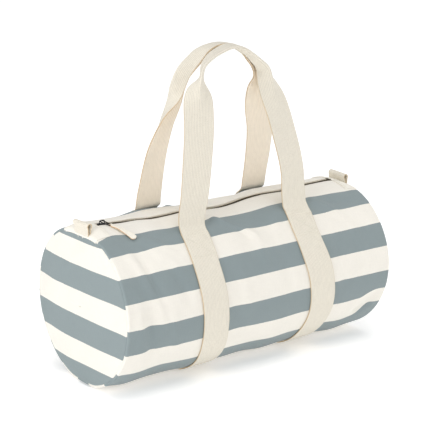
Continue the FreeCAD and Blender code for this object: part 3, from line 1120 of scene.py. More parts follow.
@dataclass(frozen=True)
class Shell:
    """The drum's canvas: the rolled wall, the two ends and the bound seams inside."""

    drum: Drum
    columns: int = 176
    rows: int = 224
    rings: int = 44
    dome: float = 3.0 * MM
    rim: float = 2.6 * MM
    end_canvas: float = 1.2 * MM

    def wall(self) -> None:
        """The wall, from lip to lip round the belly, with its seam edges turned in.

        Along X each edge follows a quarter circle and then 3 mm straight inwards, and the lips
        turn down by 1.2 mm.
        """
        drum = self.drum
        bend = np.radians(np.linspace(0, 90, 7))
        flat = np.linspace(0, drum.half_length - drum.rounding, self.columns // 2)
        turned = flat[-1] + drum.rounding * np.sin(bend[1:])
        x = np.concatenate([flat, turned, [drum.half_length] * 2])
        depth = drum.rounding * (1 - np.cos(bend[1:]))
        inset = np.concatenate([np.zeros(len(flat)), depth, [0.0036, 0.0050]])
        x = np.concatenate([-x[:0:-1], x])
        inset = np.concatenate([inset[:0:-1], inset])
        lip = math.asin(drum.mouth / drum.radius)
        angle = np.linspace(np.pi / 2 - lip, -3 * np.pi / 2 + lip, self.rows)
        angle = np.concatenate([angle[:1], angle[:1], angle, angle[-1:], angle[-1:]])
        drop = np.concatenate([[1.4, 0.5], np.zeros(self.rows), [0.5, 1.4]]) * MM
        outward = np.concatenate([[0.5, 0.1], np.zeros(self.rows), [-0.1, -0.5]]) * MM
        angle = angle - outward / drum.radius
        points = drum.place(x[None], angle[:, None], -inset[None] - drop[:, None])
        run = -angle * drum.radius
        cloth = np.stack(np.broadcast_arrays(x[None], run[:, None]), -1)
        band = drum.stripe(x[None], angle[:, None])
        patch = lattice(points, cloth, band=band)
        patch.outward(np.array([0, 0, drum.axis]))
        Sewn("canvas_wall", Finishes.STRIPES, ("body_panel",)).thickened(patch, drum.canvas)

    def end(self, side: int, name: str, node: str) -> None:
        """A round end: it rises from inside the seam round a soft rim to a slightly domed face.

        The dome is a quarter sine of the way inwards, with a slow swell and one crease, both
        faded out at the rim.

        Args:
            side: -1 for the left end, 1 for the right.
            name: The piece's name.
            node: The CAD node that it stands for.
        """
        drum = self.drum
        turn = np.linspace(0, 2 * np.pi, 240, endpoint=False) - np.pi / 2
        bend = np.radians(np.linspace(0, 90, 7))
        rim_out = -1.2 * MM + self.rim * np.sin(bend)
        rim_in = 3.5 * MM + self.rim * (1 - np.cos(bend))
        share = np.linspace(0, 1, self.rings)[1:]
        edge = side * drum.half_length
        reach = drum.radius + drum.relief(np.full(1, edge), turn)
        rim = np.concatenate([[0.0058], rim_in])[:, None]
        face = rim_in[-1] + share[:, None] * (reach[None] - rim_in[-1] - 0.0003)
        inset = np.concatenate([np.broadcast_to(rim, (len(rim), len(turn))), face])
        domed = rim_out[-1] + self.dome * np.sin(share * np.pi / 2)
        out = np.concatenate([[-0.0040], rim_out, domed])
        points = drum.place(np.full(1, edge), turn[None], -inset)
        y, z = points[..., 1], points[..., 2]
        middle = np.clip(1 - np.hypot(y, z - drum.axis) / drum.radius, 0, 1)
        swell = 1.2 * MM * np.sin(38 * y + 21 * z + side) * np.sin(30 * z - 17 * y + 1.3)
        swell = swell * ramp(middle, 0, 0.25)
        swell += 1.0 * MM * bell((y * 0.8 + z - 0.20) / 0.012, 1.0) * ramp(middle, 0, 0.3)
        points[..., 0] = edge + side * (out[:, None] + swell)
        heights = np.array([0, 4, 34, 68.5, 107, 146, 184, 221, 243]) * MM
        warp = 0.0012 * np.sin(26 * y + 0.8)
        band = np.interp(z + warp, heights, [8, 7, 6, 5, 4, 3, 2, 1, 0.02])
        patch = lattice(points, np.stack([y, z], -1), ring=True, band=band)
        rings, spokes = y.shape
        patch.corners = np.concatenate([patch.corners, rings * spokes - 1 - np.arange(spokes)])
        patch.sizes = np.concatenate([patch.sizes, [spokes]])
        patch.outward(np.array([0, 0, drum.axis]))
        Sewn(name, Finishes.STRIPES, (node,)).thickened(patch, self.end_canvas)

    def binding(self, side: int, name: str, node: str) -> None:
        """The tape bound round the seam allowance inside an end.

        Args:
            side: -1 for the left end, 1 for the right.
            name: The piece's name.
            node: The CAD node that it stands for.
        """
        drum = self.drum
        across, height, edge = tape_section(0.0055, 0.0014, 8)
        turn = np.linspace(0, 2 * np.pi, 200, endpoint=False)
        x = side * (drum.half_length - 0.0135) + across[None]
        points = drum.place(x, turn[:, None], height[None] - 0.0032)
        cloth = np.stack(np.broadcast_arrays(across[None], turn[:, None] * drum.radius), -1)
        patch = lattice(points, cloth, loop=True, ring=True, edge=edge[None]).outward()
        Sewn(name, Finishes.SEAM_TAPE, (node,)).place(patch)

    def build(self) -> None:
        """All the canvas of the drum."""
        self.wall()
        for side, word in ((-1, "left"), (1, "right")):
            self.end(side, f"canvas_end_{word}", f"end_panel_{word}")
            self.binding(side, f"seam_tape_{word}", f"seam_binding_{word}")


@dataclass(frozen=True)
class Straps:
    """The webbing sewn round the belly, with a stitched box under each of its four ends."""

    drum: Drum
    width: float = 0.046
    depth: float = 0.0020
    end_angle: float = 57.0
    box_low: float = 38.0
    count: int = 300
    seam: Seam = Seam(width=0.70 * MM)

    def middle(self, which: int, angle: Array) -> Array:
        """X of a strap's middle; which is 0 for the left strap and 1 for the right."""
        return self.drum.strap_middle(angle)[which]

    def lap(self, which: int, back: bool) -> Array:
        """The line of the webbing's middle over the last 6 mm of a strap.

        The handle's own line starts with it, so that the handle goes in under the strap's end.

        Args:
            which: 0 for the left strap, 1 for the right.
            back: Whether it is the strap's back end.

        Returns:
            Three points.
        """
        degrees = self.end_angle - np.array([2.9, 1.5, 0.0])
        angle = np.radians(180 - degrees if back else degrees)
        lift = self.depth / 2 + np.array([0.0, 0.05, 0.1]) * MM
        return self.drum.place(self.middle(which, angle), angle, lift)

    def webbing(self, which: int, word: str) -> None:
        """One strap: a flat section laid on the drum point by point, from end to end.

        Args:
            which: 0 for the left strap, 1 for the right.
            word: The strap's word in names.
        """
        across, height, edge = tape_section(self.width / 2, self.depth, 22)
        angle = np.radians(np.linspace(self.end_angle, -180 - self.end_angle, self.count))
        middle = self.middle(which, angle)
        slope = np.gradient(middle, angle * self.drum.radius)
        x = middle[:, None] + across[None]
        turn = angle[:, None] - across[None] * slope[:, None] / self.drum.radius
        lift = height[None] + self.depth / 2 + 0.2 * MM
        points = self.drum.place(x, turn, lift)
        run = -angle * self.drum.radius
        cloth = np.stack(np.broadcast_arrays(across[None], run[:, None]), -1)
        patch = lattice(points, cloth, ring=True, caps=True, edge=edge[None]).outward()
        name, nodes = f"webbing_strap_{word}", (f"strap_{word}",)
        Sewn(name, Finishes.WEBBING, nodes, smooth=Smooth.CREASED).place(patch)

    def box(self, which: int, word: str, back: bool) -> None:
        """The stitched box and cross at one end of a strap, and the row across its top.

        Args:
            which: 0 for the left strap, 1 for the right.
            word: The strap's word in names.
            back: Whether it is the strap's back end.
        """
        half = self.width / 2 - 0.003
        low, high = self.box_low, self.end_angle - 3
        corners = [(-1, low), (1, low), (1, high), (-1, high)]
        lines = [(corners[i], corners[(i + 1) % 4]) for i in range(4)]
        lines += [(corners[0], corners[2]), (corners[1], corners[3])]
        lines.append(((-1, self.end_angle - 0.8), (1, self.end_angle - 0.8)))
        rows = []
        for (start_side, start), (end_side, end) in lines:
            share = np.linspace(0, 1, 40)
            side = (start_side + (end_side - start_side) * share) * half
            degrees = start + (end - start) * share
            angle = np.radians(180 - degrees if back else degrees)
            lift = np.full(len(angle), self.depth + THREAD_LIFT + 0.15 * MM)
            points = self.drum.place(self.middle(which, angle) + side, angle, lift)
            rows.append(self.seam.row(points, self.drum.outward(angle)))
        name = f"box_stitching_{'back' if back else 'front'}_{word}"
        Sewn(name, Finishes.THREAD).place(Patch.joined(rows))

    def build(self) -> None:
        """Both straps and their stitching."""
        for which, word in enumerate(("left", "right")):
            self.webbing(which, word)
            self.box(which, word, back=False)
            self.box(which, word, back=True)


@dataclass(frozen=True)
class Handle:
    """A webbing handle: flat legs that fold lengthwise into an arched grip.

    Attributes:
        straps: The straps whose ends it goes on from.
        back: Whether it is the back handle.
        hinge: The point where the bend to its own body would start; no bend is made with it.
        crease: How sharp its lengthwise fold is, as a distance across the webbing.
        count: How many stations it has.
        half_steps: Steps across half its width in the sums for its fold.
        lean: Its slope from upright, in radians.
        bend_length: The length over which it would bend as it folds over; no bend is made with it.
        stations: X, Y and Z in millimetres of the webbing's middle, the turn of its face towards
            the left in degrees, and the fold of each half in degrees.
    """

    straps: Straps
    back: bool
    stations: tuple[tuple[float, ...], ...]
    hinge: Triple
    crease: float = 1.5 * MM
    count: int = 330
    half_steps: int = 200
    lean: float = math.radians(11.3)
    bend_length: float = 22 * MM

    @property
    def toward(self) -> float:
        """1 for the back handle, which looks along +Y, and -1 for the front one."""
        return 1.0 if self.back else -1.0

    def path(self) -> tuple[Array, Array, Array]:
        """The webbing's line, its outer face's direction and its fold, at close stations.

        The line leaves each strap along the drum's surface. The face's direction is -Y at the
        front and +Y at the back, turned about Z.

        Returns:
            Points, directions, and folds in radians.
        """
        table = np.array(self.stations)
        slope = math.radians(self.straps.end_angle)
        leads = [self.straps.lap(which, self.back) for which in (0, 1)]
        points = np.concatenate([leads[0], table[:, :3] * MM, leads[1][::-1]])
        still = np.zeros(len(leads[0]))
        turn = np.concatenate([still, table[:, 3], still])
        fold = np.concatenate([still, table[:, 4], still])
        knots = lengths(points)
        at = np.linspace(0, knots[-1], self.count)
        where = spline(at, knots, points)
        yaw = np.radians(spline(at, knots, turn))
        facing = np.stack([-np.sin(yaw), self.toward * np.cos(yaw), np.zeros(len(yaw))], -1)
        near = bell(at, 13 * MM) + bell(at - knots[-1], 13 * MM)
        outer = self.straps.drum.outward([math.pi - slope if self.back else slope])
        facing = facing * (1 - near[:, None]) + outer * near[:, None]
        return where, facing, np.clip(np.radians(spline(at, knots, fold)), 0, math.radians(88))

    def section(self, fold: Array) -> tuple[Array, Array, Array]:
        """The folded section at each station.

        Across the webbing the face's slope is fold * tanh(t / crease), so that its line is the
        running sum of (cos, -|sin|) of that slope. The two faces lie half a thickness to each
        side of the line, which is centred on its own middle.

        Args:
            fold: The fold of each half at each station.

        Returns:
            Places across and heights, stations by points, and the share of edge, which the finish
            paints as shade.
        """
        half, depth = self.straps.width / 2, self.straps.depth
        across, height, edge = tape_section(half, depth, 30)
        steps = np.linspace(-half, half, 2 * self.half_steps + 1)
        slope = fold[:, None] * np.tanh(steps / self.crease)
        width = steps[1] - steps[0]

        def running(value: Array) -> Array:
            """The running sum across the webbing, 0 at its middle."""
            parts = np.cumsum((value[:, 1:] + value[:, :-1]) / 2, 1) * width
            sums = np.concatenate([np.zeros((len(fold), 1)), parts], 1)
            return sums - sums[:, [self.half_steps]]

        side = running(np.cos(slope))
        deep = running(-np.sin(slope))
        deep = deep - deep.mean(axis=1, keepdims=True)
        spot = np.clip((across + half) / width, 0, 2 * self.half_steps - 1e-6)
        low = spot.astype(int)
        share = spot - low

        def taken(table: Array) -> Array:
            """The table read at the section's own places across."""
            return table[:, low] * (1 - share) + table[:, low + 1] * share

        tilt = taken(slope)
        return taken(side) + height * np.sin(tilt), taken(deep) + height * np.cos(tilt), edge

    def build(self) -> None:
        """The handle, swept along its path and left in the scene's frame; no bend to its own body
        is made.
        """
        word = "back" if self.back else "front"
        where, facing, fold = self.path()
        across, height, edge = self.section(fold)
        patch = swept(where, facing, across, height, edge[None])
        flat, level, _ = tape_section(self.straps.width / 2, self.straps.depth, 30)
        patch.cloth[:, 0] = np.tile(flat, len(across))
        # Marks the inner faces, which the webbing finish paints lighter as painted light.
        patch.values["inner"] = np.tile((level < 0).astype(float), len(across))
        start = Vector(self.hinge)
        lean = Vector((0, -self.toward * math.sin(self.lean), math.cos(self.lean)))
        end = start + lean * self.bend_length
        node = f"{word}_handle"
        sewn = Sewn(f"webbing_handle_{word}", Finishes.WEBBING, (node,), smooth=Smooth.CREASED)
        sewn.place(patch, (node, tuple(start), tuple(end)))


FRONT_STATIONS = (
    (-91.2, -58.6, 232.0, 2, 0), (-89.6, -56.4, 243.0, 4, 0), (-82.8, -52.7, 266.3, 8, 0),
    (-71.0, -44.1, 317.6, 14, 0), (-62.2, -36.3, 364.8, 17, 0), (-58.1, -29.9, 402.3, 20, 14),
    (-55.2, -27.1, 421.7, 28, 46), (-48.8, -24.0, 439.8, 37, 86), (-43.1, -21.3, 453.3, 34, 88),
    (-30.6, -19.1, 464.4, 24, 88), (-10.2, -17.3, 473.4, 12, 88), (9.4, -16.4, 477.6, 4, 88),
    (25.1, -17.0, 474.9, 0, 88), (40.2, -18.8, 465.8, -2, 88), (54.9, -21.1, 454.2, -4, 84),
    (67.8, -23.7, 441.4, -6, 74), (73.2, -27.0, 424.4, -8, 52), (78.3, -30.2, 406.0, -8, 28),
    (84.8, -33.3, 385.1, -7, 10), (93.9, -39.5, 346.0, -5, 0), (104.0, -50.4, 283.8, -3, 0),
    (103.2, -56.4, 242.0, 0, 0), (103.0, -58.8, 232.0, 0, 0),
)
BACK_STATIONS = (
    (-87.6, 58.6, 232.0, 0, 0), (-88.0, 56.0, 243.0, 2, 0), (-86.6, 52.8, 268.0, 6, 4),
    (-80.0, 42.4, 334.0, 16, 18), (-71.6, 36.5, 367.8, 26, 34), (-58.8, 31.6, 397.3, 40, 60),
    (-52.9, 27.4, 421.3, 52, 84), (-46.0, 24.4, 438.0, 52, 88), (-31.0, 21.5, 454.4, 44, 88),
    (-13.2, 18.7, 469.0, 28, 88), (7.0, 17.0, 475.0, 12, 88), (31.0, 16.9, 473.5, 0, 88),
    (47.6, 17.5, 466.5, -8, 86), (64.5, 18.9, 457.0, -18, 76), (82.0, 22.4, 440.0, -28, 80),
    (95.6, 27.2, 420.0, -32, 70), (100.0, 31.6, 397.6, -28, 40), (107.2, 38.4, 367.8, -18, 12),
    (116.0, 44.5, 334.3, -10, 2), (119.0, 51.8, 291.1, -4, 0), (116.0, 54.6, 258.0, 0, 0),
    (115.2, 56.6, 243.0, 0, 0), (115.0, 58.8, 232.0, 0, 0),
)


@dataclass(frozen=True)
class Zip:
    """The zip: tapes, teeth, stops, the canvas facing over each end and the rows of stitching."""

    drum: Drum
    tape_half_length: float = 0.230
    first_tooth: float = -0.216
    pitch: float = 0.0025
    teeth: int = 173
    edge_seam: Seam = Seam()
    facing_seam: Seam = Seam(width=0.42 * MM)
    facing_rows: tuple[float, float] = (8.8 * MM, 5.2 * MM)

    def line(self, x: Array) -> Array:
        """Height of the zip's middle at places along the drum."""
        return self.drum.zip_height - self.drum.sag(x)

    def tape(self, side: int, word: str) -> None:
        """A tape: 12 mm wide and 0.8 mm thick, from its teeth to under the canvas.

        Args:
            side: -1 for the front one, 1 for the back one.
            word: The word in names.
        """
        across, height, edge = tape_section(0.0060, 0.0008, 8)
        x = np.linspace(-self.tape_half_length, self.tape_half_length, 220)
        path = np.stack([x, np.full(len(x), side * 0.0090), self.line(x)], -1)
        patch = swept(path, UPWARDS, across, height, edge[None])
        Sewn(f"woven_zip_tape_{word}", Finishes.ZIP_TAPE, (f"zip_tape_{word}",)).place(patch)

    def row(self, side: int, word: str) -> None:
        """A row of teeth: each grips the tape and has a narrower head that reaches the middle.

        The tooth's outline is a ring of points in plan at four heights, drawn in at both ends.

        Args:
            side: -1 for the front row, 1 for the back one.
            word: The word in names.
        """
        plan = np.array(
            [(0.50, 3.0), (0.65, 2.6), (0.65, 1.3), (0.44, 1.0), (0.56, 0.2), (0.40, -0.35)]
        )
        plan = np.concatenate([plan, plan[::-1] * [-1, 1]]) * MM
        rings = np.stack(
            [
                np.column_stack([plan * scale, np.full(len(plan), z * MM)])
                for scale, z in ((0.90, -1.2), (1.0, -0.9), (1.0, 0.8), (0.86, 1.2))
            ]
        )
        shift = 0.65 * MM + (0.0 if side < 0 else self.pitch / 2)
        x = self.first_tooth + shift + self.pitch * np.arange(self.teeth)
        flip = np.array([1, side, 1])
        one = lattice(rings * flip, rings[..., :2], ring=True, caps=True).outward()
        spots = np.stack([x, np.zeros(len(x)), self.line(x)], -1)
        patch = one.repeated(spots[:, None] + one.points[None])
        nodes = (f"zip_teeth_{word}",)
        Sewn(f"metal_teeth_{word}", Finishes.TEETH, nodes, smooth=Smooth.CREASED).place(patch)

    def stops(self) -> None:
        """Two clipped stops at the closed end and one across both tapes at the open end."""

        def clip(x: float, y: float, half_x: float, half_y: float) -> Patch:
            """A block with rounded corners about the zip's middle."""
            turn = np.linspace(0, 2 * np.pi, 16, endpoint=False)
            plan = np.stack([np.cos(turn), np.sin(turn)], -1)
            plan = squared(plan, 0.4) * [half_x, half_y] + [x, y]
            z = float(self.line(np.array([x]))[0])
            return slab(plan, z - 0.0012, z + 0.0012, 0.0003)

        pair = [clip(-0.21815, side * 0.0018, 0.00115, 0.0012) for side in (-1, 1)]
        bottom = clip(0.2200, 0.0, 0.0020, 0.0030)
        for word, patch in (("top_stops", Patch.joined(pair)), ("bottom_stop", bottom)):
            sewn = Sewn(f"metal_{word}", Finishes.TEETH, (f"zip_{word}",), smooth=Smooth.CREASED)
            sewn.place(patch)

    def levelled(self, points: Array, lift: Array) -> Array:
        """Points on the drum brought to the zip's own level where they lie over it.

        Args:
            points: The points.
            lift: Their heights over the zip's level.

        Returns:
            The points, level up to 5.5 mm from the middle and as they were past 9 mm.
        """
        level = self.drum.axis + self.drum.radius + lift - self.drum.sag(points[..., 0])
        inside = ramp(9.0 * MM - np.abs(points[..., 1]), 0, 3.5 * MM)
        points[..., 2] = points[..., 2] * (1 - inside) + level * inside
        return points

    def facing(self, side: int, word: str) -> None:
        """The canvas facing over an end of the zip, laid on the drum, and its two rows.

        Args:
            side: -1 for the left end, 1 for the right.
            word: The word in names.
        """
        drum = self.drum
        angle = np.pi / 2 + np.radians(np.linspace(-20.3, 20.3, 90))
        flat = np.linspace(drum.half_length - 0.0224, drum.half_length - drum.rounding, 14)
        bend = np.radians(np.linspace(0, 90, 7))[1:]
        faces = []
        for rise in (0.00105, 0.00015):
            round_edge = drum.rounding + rise
            turned = flat[-1] + round_edge * np.sin(bend)
            x = np.concatenate([flat, turned, [drum.half_length + rise] * 2])
            down = round_edge * np.cos(bend) - drum.rounding
            lift = np.concatenate([np.full(len(flat), rise), down, [-0.0036, -0.0050]])
            points = drum.place(side * x[None], angle[:, None], lift[None])
            faces.append(self.levelled(points, lift[None]))
        points = np.concatenate([faces[0], faces[1][:, ::-1]], 1)
        run = lengths(faces[0][len(angle) // 2])
        run = np.concatenate([run, run[::-1]])
        cloth = np.stack(np.broadcast_arrays(run[None], angle[:, None] * drum.radius), -1)
        band = np.full(points.shape[:2], 1.5)
        patch = lattice(points, cloth, ring=True, caps=True, band=band).outward()
        nodes = (f"zip_end_facing_{word}",)
        Sewn(f"canvas_facing_{word}", Finishes.LINING, nodes, smooth=Smooth.CREASED).place(patch)
        rows = []
        turn = np.pi / 2 + np.radians(np.linspace(-19.0, 19.0, 80))
        for place in self.facing_rows:
            line = np.full(len(turn), side * (drum.half_length - 13.4 * MM - place))
            points = drum.place(line, turn, np.full(len(turn), 1.4 * MM))
            points = self.levelled(points, 1.0 * MM)
            rows.append(self.facing_seam.row(points, drum.outward(turn)))
        Sewn(f"facing_stitching_{word}", Finishes.THREAD).place(Patch.joined(rows))

    def seams(self) -> None:
        """The row of stitching along the canvas on each side of the zip."""
        rows = []
        x = np.linspace(-0.220, 0.220, 300)
        for side in (-1, 1):
            angle = np.full(len(x), np.pi / 2 + side * math.asin(0.0088 / self.drum.radius))
            points = self.drum.place(x, angle, np.full(len(x), THREAD_LIFT * 0.4))
            rows.append(self.edge_seam.row(points, self.drum.outward(angle)))
        Sewn("zip_stitching", Finishes.THREAD).place(Patch.joined(rows))

    def build(self) -> None:
        """The whole zip but its slider."""
        for side, word in ((-1, "front"), (1, "back")):
            self.tape(side, word)
            self.row(side, word)
        self.stops()
        for side, word in ((-1, "left"), (1, "right")):
            self.facing(side, word)
        self.seams()


@dataclass(frozen=True)
class Slider:
    """The zip's slider, its wire link and the stitched cotton puller."""

    drum: Drum
    start: float = -0.216
    length: float = 0.014
    middle_height: float = 0.237
    bar_height: float = 0.2445
    link_height: float = 0.2425
    yaw: float = math.radians(73)
    link_back: float = 0.0020
    link_reach: float = 0.0160
    link_half: float = 0.0030
    puller_length: float = 0.0390
    eye: float = 1.55 * MM
    tip: float = 4.2 * MM
    roll: float = math.radians(13)
    seam: Seam = Seam(2.4 * MM, 1.8 * MM, 0.34 * MM)

    @property
    def middle(self) -> float:
        """X of the slider's middle, where the link hangs."""
        return self.start + self.length / 2

    def shield(self) -> Array:
        """The plates' outline: wide at the mouth with two rounded shoulders, narrow at the tail."""
        turn = np.linspace(0, 2 * np.pi, 40, endpoint=False)
        x = squared(np.cos(turn), 0.55) * self.length / 2
        half = 5.1 * MM - 1.1 * MM * ramp(x, -2 * MM, 6 * MM)
        return np.stack([x + self.middle, squared(np.sin(turn), 0.6) * half], -1)

    def body(self) -> None:
        """Two plates, the wedge between them, side rails and the bridge that holds the link."""
        z = self.middle_height
        low, high = 1.5 * MM, 2.6 * MM
        plates = [slab(self.shield(), z + low, z + high, 0.3 * MM)]
        plates.append(slab(self.shield(), z - high, z - low, 0.3 * MM))
        turn = np.linspace(0, 2 * np.pi, 16, endpoint=False)
        wedge = np.stack([np.cos(turn) * 0.0015 + self.start + 0.0018, np.sin(turn) * 0.00035], -1)
        plates.append(slab(wedge, z - 0.0018, z + 0.0018, 0.0001))
        rise = np.linspace(0, np.pi, 40)
        x = self.middle - squared(np.cos(rise), 0.45) * 4.6 * MM
        base = z + 2.0 * MM
        height = base + np.abs(np.sin(rise)) ** 0.5 * (self.bar_height - base)
        arch = np.stack([x, np.zeros(len(x)), height], -1)
        plates.append(tube(evenly(arch, 40), 0.68 * MM, (0.0, 1.0, 0.0)))
        sewn = Sewn("cast_slider", Finishes.GUNMETAL, ("zip_slider",), "zip_slider")
        sewn.place(Patch.joined(plates))

    def to_drum(self, along: Array, across: Array, z: Array) -> Array:
        """Places given along and across the pull's direction, in the bag's own frame.

        Args:
            along: Distances from the slider's middle along the pull.
            across: Distances to its left.
            z: Heights.

        Returns:
            The points.
        """
        along, across, z = np.broadcast_arrays(along, across, z)
        x = self.middle + along * math.cos(self.yaw) - across * math.sin(self.yaw)
        y = -along * math.sin(self.yaw) - across * math.cos(self.yaw)
        return np.stack([x, y, z], -1)

    def slope(self, along: Array) -> Array:
        """Height of the link at places along it: it hangs a little towards its far end."""
        return self.link_height + 0.0008 - 0.0030 * (along + self.link_back) / 0.018

    def link(self) -> None:
        """A wire ring, a long oval with squared corners, under the bridge's bar."""
        turn = np.linspace(0, 2 * np.pi, 96, endpoint=False)
        half = (self.link_reach + self.link_back) / 2
        along = squared(np.cos(turn), 0.42) * half + half - self.link_back
        wide = squared(np.sin(turn), 0.42) * self.link_half
        path = self.to_drum(along, wide, self.slope(along))
        path = evenly(np.concatenate([path, path[:1]]), 97)[:-1]
        patch = tube(path, 0.74 * MM, UPWARDS, closed=True)
        Sewn("wire_link", Finishes.GUNMETAL, ("zip_pull_link",), "pull_link").place(patch)

    def puller(self) -> None:
        """The puller: tape looped round the link's bar, then a flat tab with a round tip.

        Its half width grows from 3 to 5 mm and ends in a half circle. It lies over the drum, a
        little above the canvas, and its rows of stitching follow 1.1 mm inside its edge.
        """
        around = np.radians(np.linspace(-70, -262, 26))
        bar = self.slope(np.array([self.link_reach]))
        eye_z = bar + self.eye * np.sin(around)
        eye = self.to_drum(self.link_reach + self.eye * np.cos(around), 0.0, eye_z)
        first, last = self.link_reach + 3.5 * MM, self.link_reach + self.puller_length + 6.2 * MM
        reach = np.linspace(first, last, 70)
        flat = self.to_drum(reach, 0.0, 0.0)
        lift = 1.2 * MM * ramp(reach, 0.019, 0.032) + 0.7 * MM * ramp(reach, 0.034, 0.054)
        over = self.drum.radius + 1.2 * MM + lift
        flat[:, 2] = self.drum.axis + np.sqrt(over**2 - flat[:, 1] ** 2)
        join = self.to_drum(np.array([self.link_reach + 1.6 * MM]), 0.0, eye_z[-1:])
        path = np.concatenate([eye, join, flat])
        knots = lengths(path)
        at = np.linspace(0, knots[-1], 140)
        path = spline(at, knots, path)
        eye_end = knots[len(eye) - 1]
        aim = np.array([math.cos(self.yaw), -math.sin(self.yaw), 0.0])
        centre = self.to_drum(np.array([self.link_reach]), 0.0, bar)[0]
        roll = self.roll * ramp(at - eye_end, 0.018, 0.038)[:, None]
        tilted = UPWARDS * np.cos(roll) + np.cross(aim, UPWARDS) * np.sin(roll)
        facing = np.where((at < eye_end)[:, None], path - centre, tilted)
        run = at - knots[len(eye)]
        share = np.clip(run / (run[-1] - self.tip), 0, 1)
        half = 1.9 * MM + 1.2 * MM * ramp(run, -1 * MM, 3 * MM) + 2.1 * MM * share
        past = np.clip((run - (run[-1] - self.tip)) / self.tip, 0, 0.995)
        half = half * np.sqrt(1 - past**2)
        across, height, _ = tape_section(1.0, 1.0, 14)
        near = np.clip(1 - (1 - np.abs(across)) / 0.22, 0, 1)
        height = np.sign(height) * 0.5 * (1 - 0.55 * near**3)
        thick = 0.9 * MM + 1.3 * MM * ramp(run, -0.5 * MM, 3 * MM)
        wide, high = across[None] * half[:, None], height[None] * thick[:, None]
        # near ** 8 marks the tape's edges, which its finish paints tan as painted shade.
        patch = swept(path, facing, wide, high, near[None] ** 8)
        Sewn("cotton_puller", Finishes.PULL_TAPE, ("zip_puller",), "puller").place(patch)
        side, normal = framed(path, facing)
        sewn = np.nonzero(run > 2 * MM)[0][:-3]
        inner = np.maximum(half - 1.1 * MM, 0.0)
        raised = path + normal * (thick / 2 + 0.05 * MM)[:, None]
        rows = [
            self.seam.row((raised + side * (way * inner)[:, None])[sewn], normal[sewn])
            for way in (-1, 1)
        ]
        Sewn("puller_stitching", Finishes.THREAD, body="puller").place(Patch.joined(rows))

    def build(self) -> None:
        """Slider, link and puller."""
        self.body()
        self.link()
        self.puller()


@dataclass(frozen=True)
class EndLoop:
    """A loop of webbing folded over and sewn into the seam at the end of the zip.

    Attributes:
        side: -1 for the left end, 1 for the right.
        word: The word in names.
        fold_x: Distance of its middle from the bag's middle.
        fold_z: Height at which it starts to bend.
        foot: Height of its sewn end.
        width: Width of the webbing.
        depth: Its thickness.
        middle: Y of its middle.
        bend: Radius of its round top.
        bend_length: The length over which it bends from the bag to its own body.
    """

    side: int
    word: str
    fold_x: float
    fold_z: float
    foot: float
    width: float = 0.040
    depth: float = 0.0016
    middle: float = 0.0
    # bend_length: The length over which it would bend from the bag to its own body; no bend is made
    # with it.
    bend: float = 3.4 * MM
    bend_length: float = 6.0 * MM

    def build(self) -> None:
        """The loop: a teardrop line from its foot up over a round top and back, swept across Y."""
        turn = np.radians(np.linspace(-28, 208, 50))
        top_x = self.fold_x + self.bend * np.cos(turn)
        top_z = self.fold_z + 7.8 * MM + self.bend * np.sin(turn)
        ends = np.array([1.0, 1.3]) * MM
        feet = self.foot + np.array([0, 2.0]) * MM
        x = np.concatenate([self.fold_x + ends, top_x, self.fold_x - ends[::-1]])
        z = np.concatenate([feet, top_z, feet[::-1]])
        path = np.stack([self.side * x, np.full(len(x), self.middle), z], -1)
        knots = lengths(path)
        path = spline(np.linspace(0, knots[-1], 110), knots, path)
        centre = np.array([self.side * self.fold_x, self.middle, self.fold_z + 4 * MM])
        across, height, edge = tape_section(self.width / 2, self.depth, 22)
        patch = swept(path, path - centre, across, height, edge[None])
        lean = np.sin(patch.points[:, 1] * 60 + 0.4) * ramp(patch.points[:, 2], 0.236, 0.250)
        patch.points[:, 0] += self.side * 1.4 * MM * lean
        start = (self.side * self.fold_x, 0.0, self.fold_z)
        end = (self.side * self.fold_x, 0.0, self.fold_z + self.bend_length)
        node = f"end_tab_{self.word}"
        sewn = Sewn(f"webbing_loop_{self.word}", Finishes.WEBBING, (node,))
        sewn.place(patch, (node, start, end))


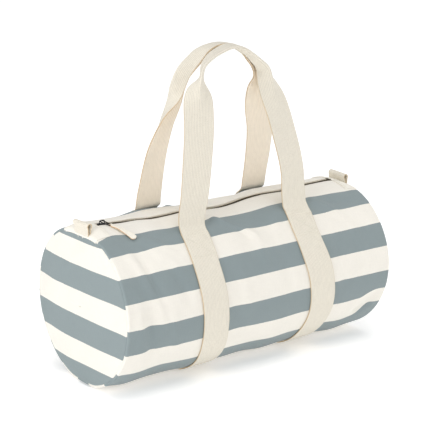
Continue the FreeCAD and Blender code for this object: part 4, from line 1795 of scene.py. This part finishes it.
@dataclass(frozen=True)
class Studio:
    """Floor, light and camera."""

    azimuth: float = -37.288
    elevation: float = 16.214
    distance: float = 2.5124
    roll: float = 0.446
    lens: float = 134.0
    target: Triple = (0.0077, 0.0217, 0.2031)
    aim: Triple = (0.0, 0.0, 0.15)
    glow: float = 0.42
    overhead: float = 1.45

    def camera(self) -> None:
        """A long lens, level but for a slight roll, with no depth of field."""
        a, e, r = (math.radians(value) for value in (self.azimuth, self.elevation, self.roll))
        back = Vector((math.sin(a) * math.cos(e), -math.cos(a) * math.cos(e), math.sin(e)))
        right = Vector((0, 0, 1)).cross(back).normalized()
        up = back.cross(right)
        axes = (
            right * math.cos(r) + up * math.sin(r),
            up * math.cos(r) - right * math.sin(r),
            back,
        )
        data = bpy.data.cameras.new("camera")
        data.lens, data.sensor_width, data.sensor_fit = self.lens, 36.0, "AUTO"
        data.clip_start, data.clip_end = 0.05, 50.0
        item = bpy.data.objects.new("camera", data)
        matrix = Matrix(axes).transposed().to_4x4()
        matrix.translation = Vector(self.target) + back * self.distance
        item.matrix_world = matrix
        bpy.context.scene.collection.objects.link(item)
        bpy.context.scene.camera = item

    def lamp(self, name: str, place: Triple, size: float, power: float, tint: Colour) -> None:
        """A square soft light that looks at the bag.

        Args:
            name: The lamp's name.
            place: Where it hangs.
            size: Its side.
            power: Its power in watts.
            tint: Its colour.
        """
        data = bpy.data.lights.new(name, "AREA")
        data.shape, data.size, data.energy, data.color = "SQUARE", size, power, tint
        item = bpy.data.objects.new(name, data)
        item.location = place
        aim = Vector(self.aim) - Vector(place)
        item.rotation_euler = aim.to_track_quat("-Z", "Y").to_euler()
        bpy.context.scene.collection.objects.link(item)

    def build(self) -> None:
        """Everything that isn't the bag."""
        self.camera()
        world = bpy.data.worlds.new("studio")
        world.use_nodes = True
        glow = world.node_tree.nodes["Background"]
        glow.inputs["Color"].default_value = (1.0, 1.0, 1.0, 1)
        glow.inputs["Strength"].default_value = self.glow
        bpy.context.scene.world = world
        bpy.context.scene.view_settings.view_transform = "Standard"
        self.lamp("left_softbox", (-1.95, -0.45, 0.8), 1.0, 14.0, (1.0, 0.99, 0.985))
        self.lamp("right_softbox", (1.9, -1.1, 0.5), 1.4, 12.0, (1.0, 0.985, 0.965))
        sky = bpy.data.lights.new("overhead", "SUN")
        sky.energy, sky.angle = self.overhead, math.radians(70)
        overhead = bpy.data.objects.new("overhead", sky)
        overhead.rotation_euler = (math.radians(8), math.radians(-6), 0)
        bpy.context.scene.collection.objects.link(overhead)
        side = np.linspace(-4, 4, 9)
        grid = np.stack([*np.meshgrid(side, side, indexing="ij"), np.zeros((9, 9))], -1)
        patch = lattice(grid, grid[..., :2]).outward(np.array([0, 0, -1.0]))
        mesh = bpy.data.meshes.new("floor")
        mesh.from_pydata(patch.points.tolist(), [], patch.corners.reshape(-1, 4).tolist())
        mesh.materials.append(Finishes.FLOOR.value.material())
        floor = bpy.data.objects.new("floor", mesh)
        bpy.context.scene.collection.objects.link(floor)


def main() -> None:
    """Builds the bag piece by piece."""
    logging.basicConfig(level=logging.INFO, format="%(name)s %(message)s")
    drum = Drum()
    straps = Straps(drum)
    Studio().build()
    Shell(drum).build()
    straps.build()
    Handle(straps, False, FRONT_STATIONS, (0, -0.0672, 0.2235)).build()
    Handle(straps, True, BACK_STATIONS, (0, 0.0672, 0.2235)).build()
    Zip(drum).build()
    Slider(drum).build()
    EndLoop(-1, "left", 0.2440, 0.2378, 0.2285, width=0.036, middle=-0.003).build()
    EndLoop(1, "right", 0.2432, 0.2370, 0.2280).build()


if __name__ == "__main__":
    main()
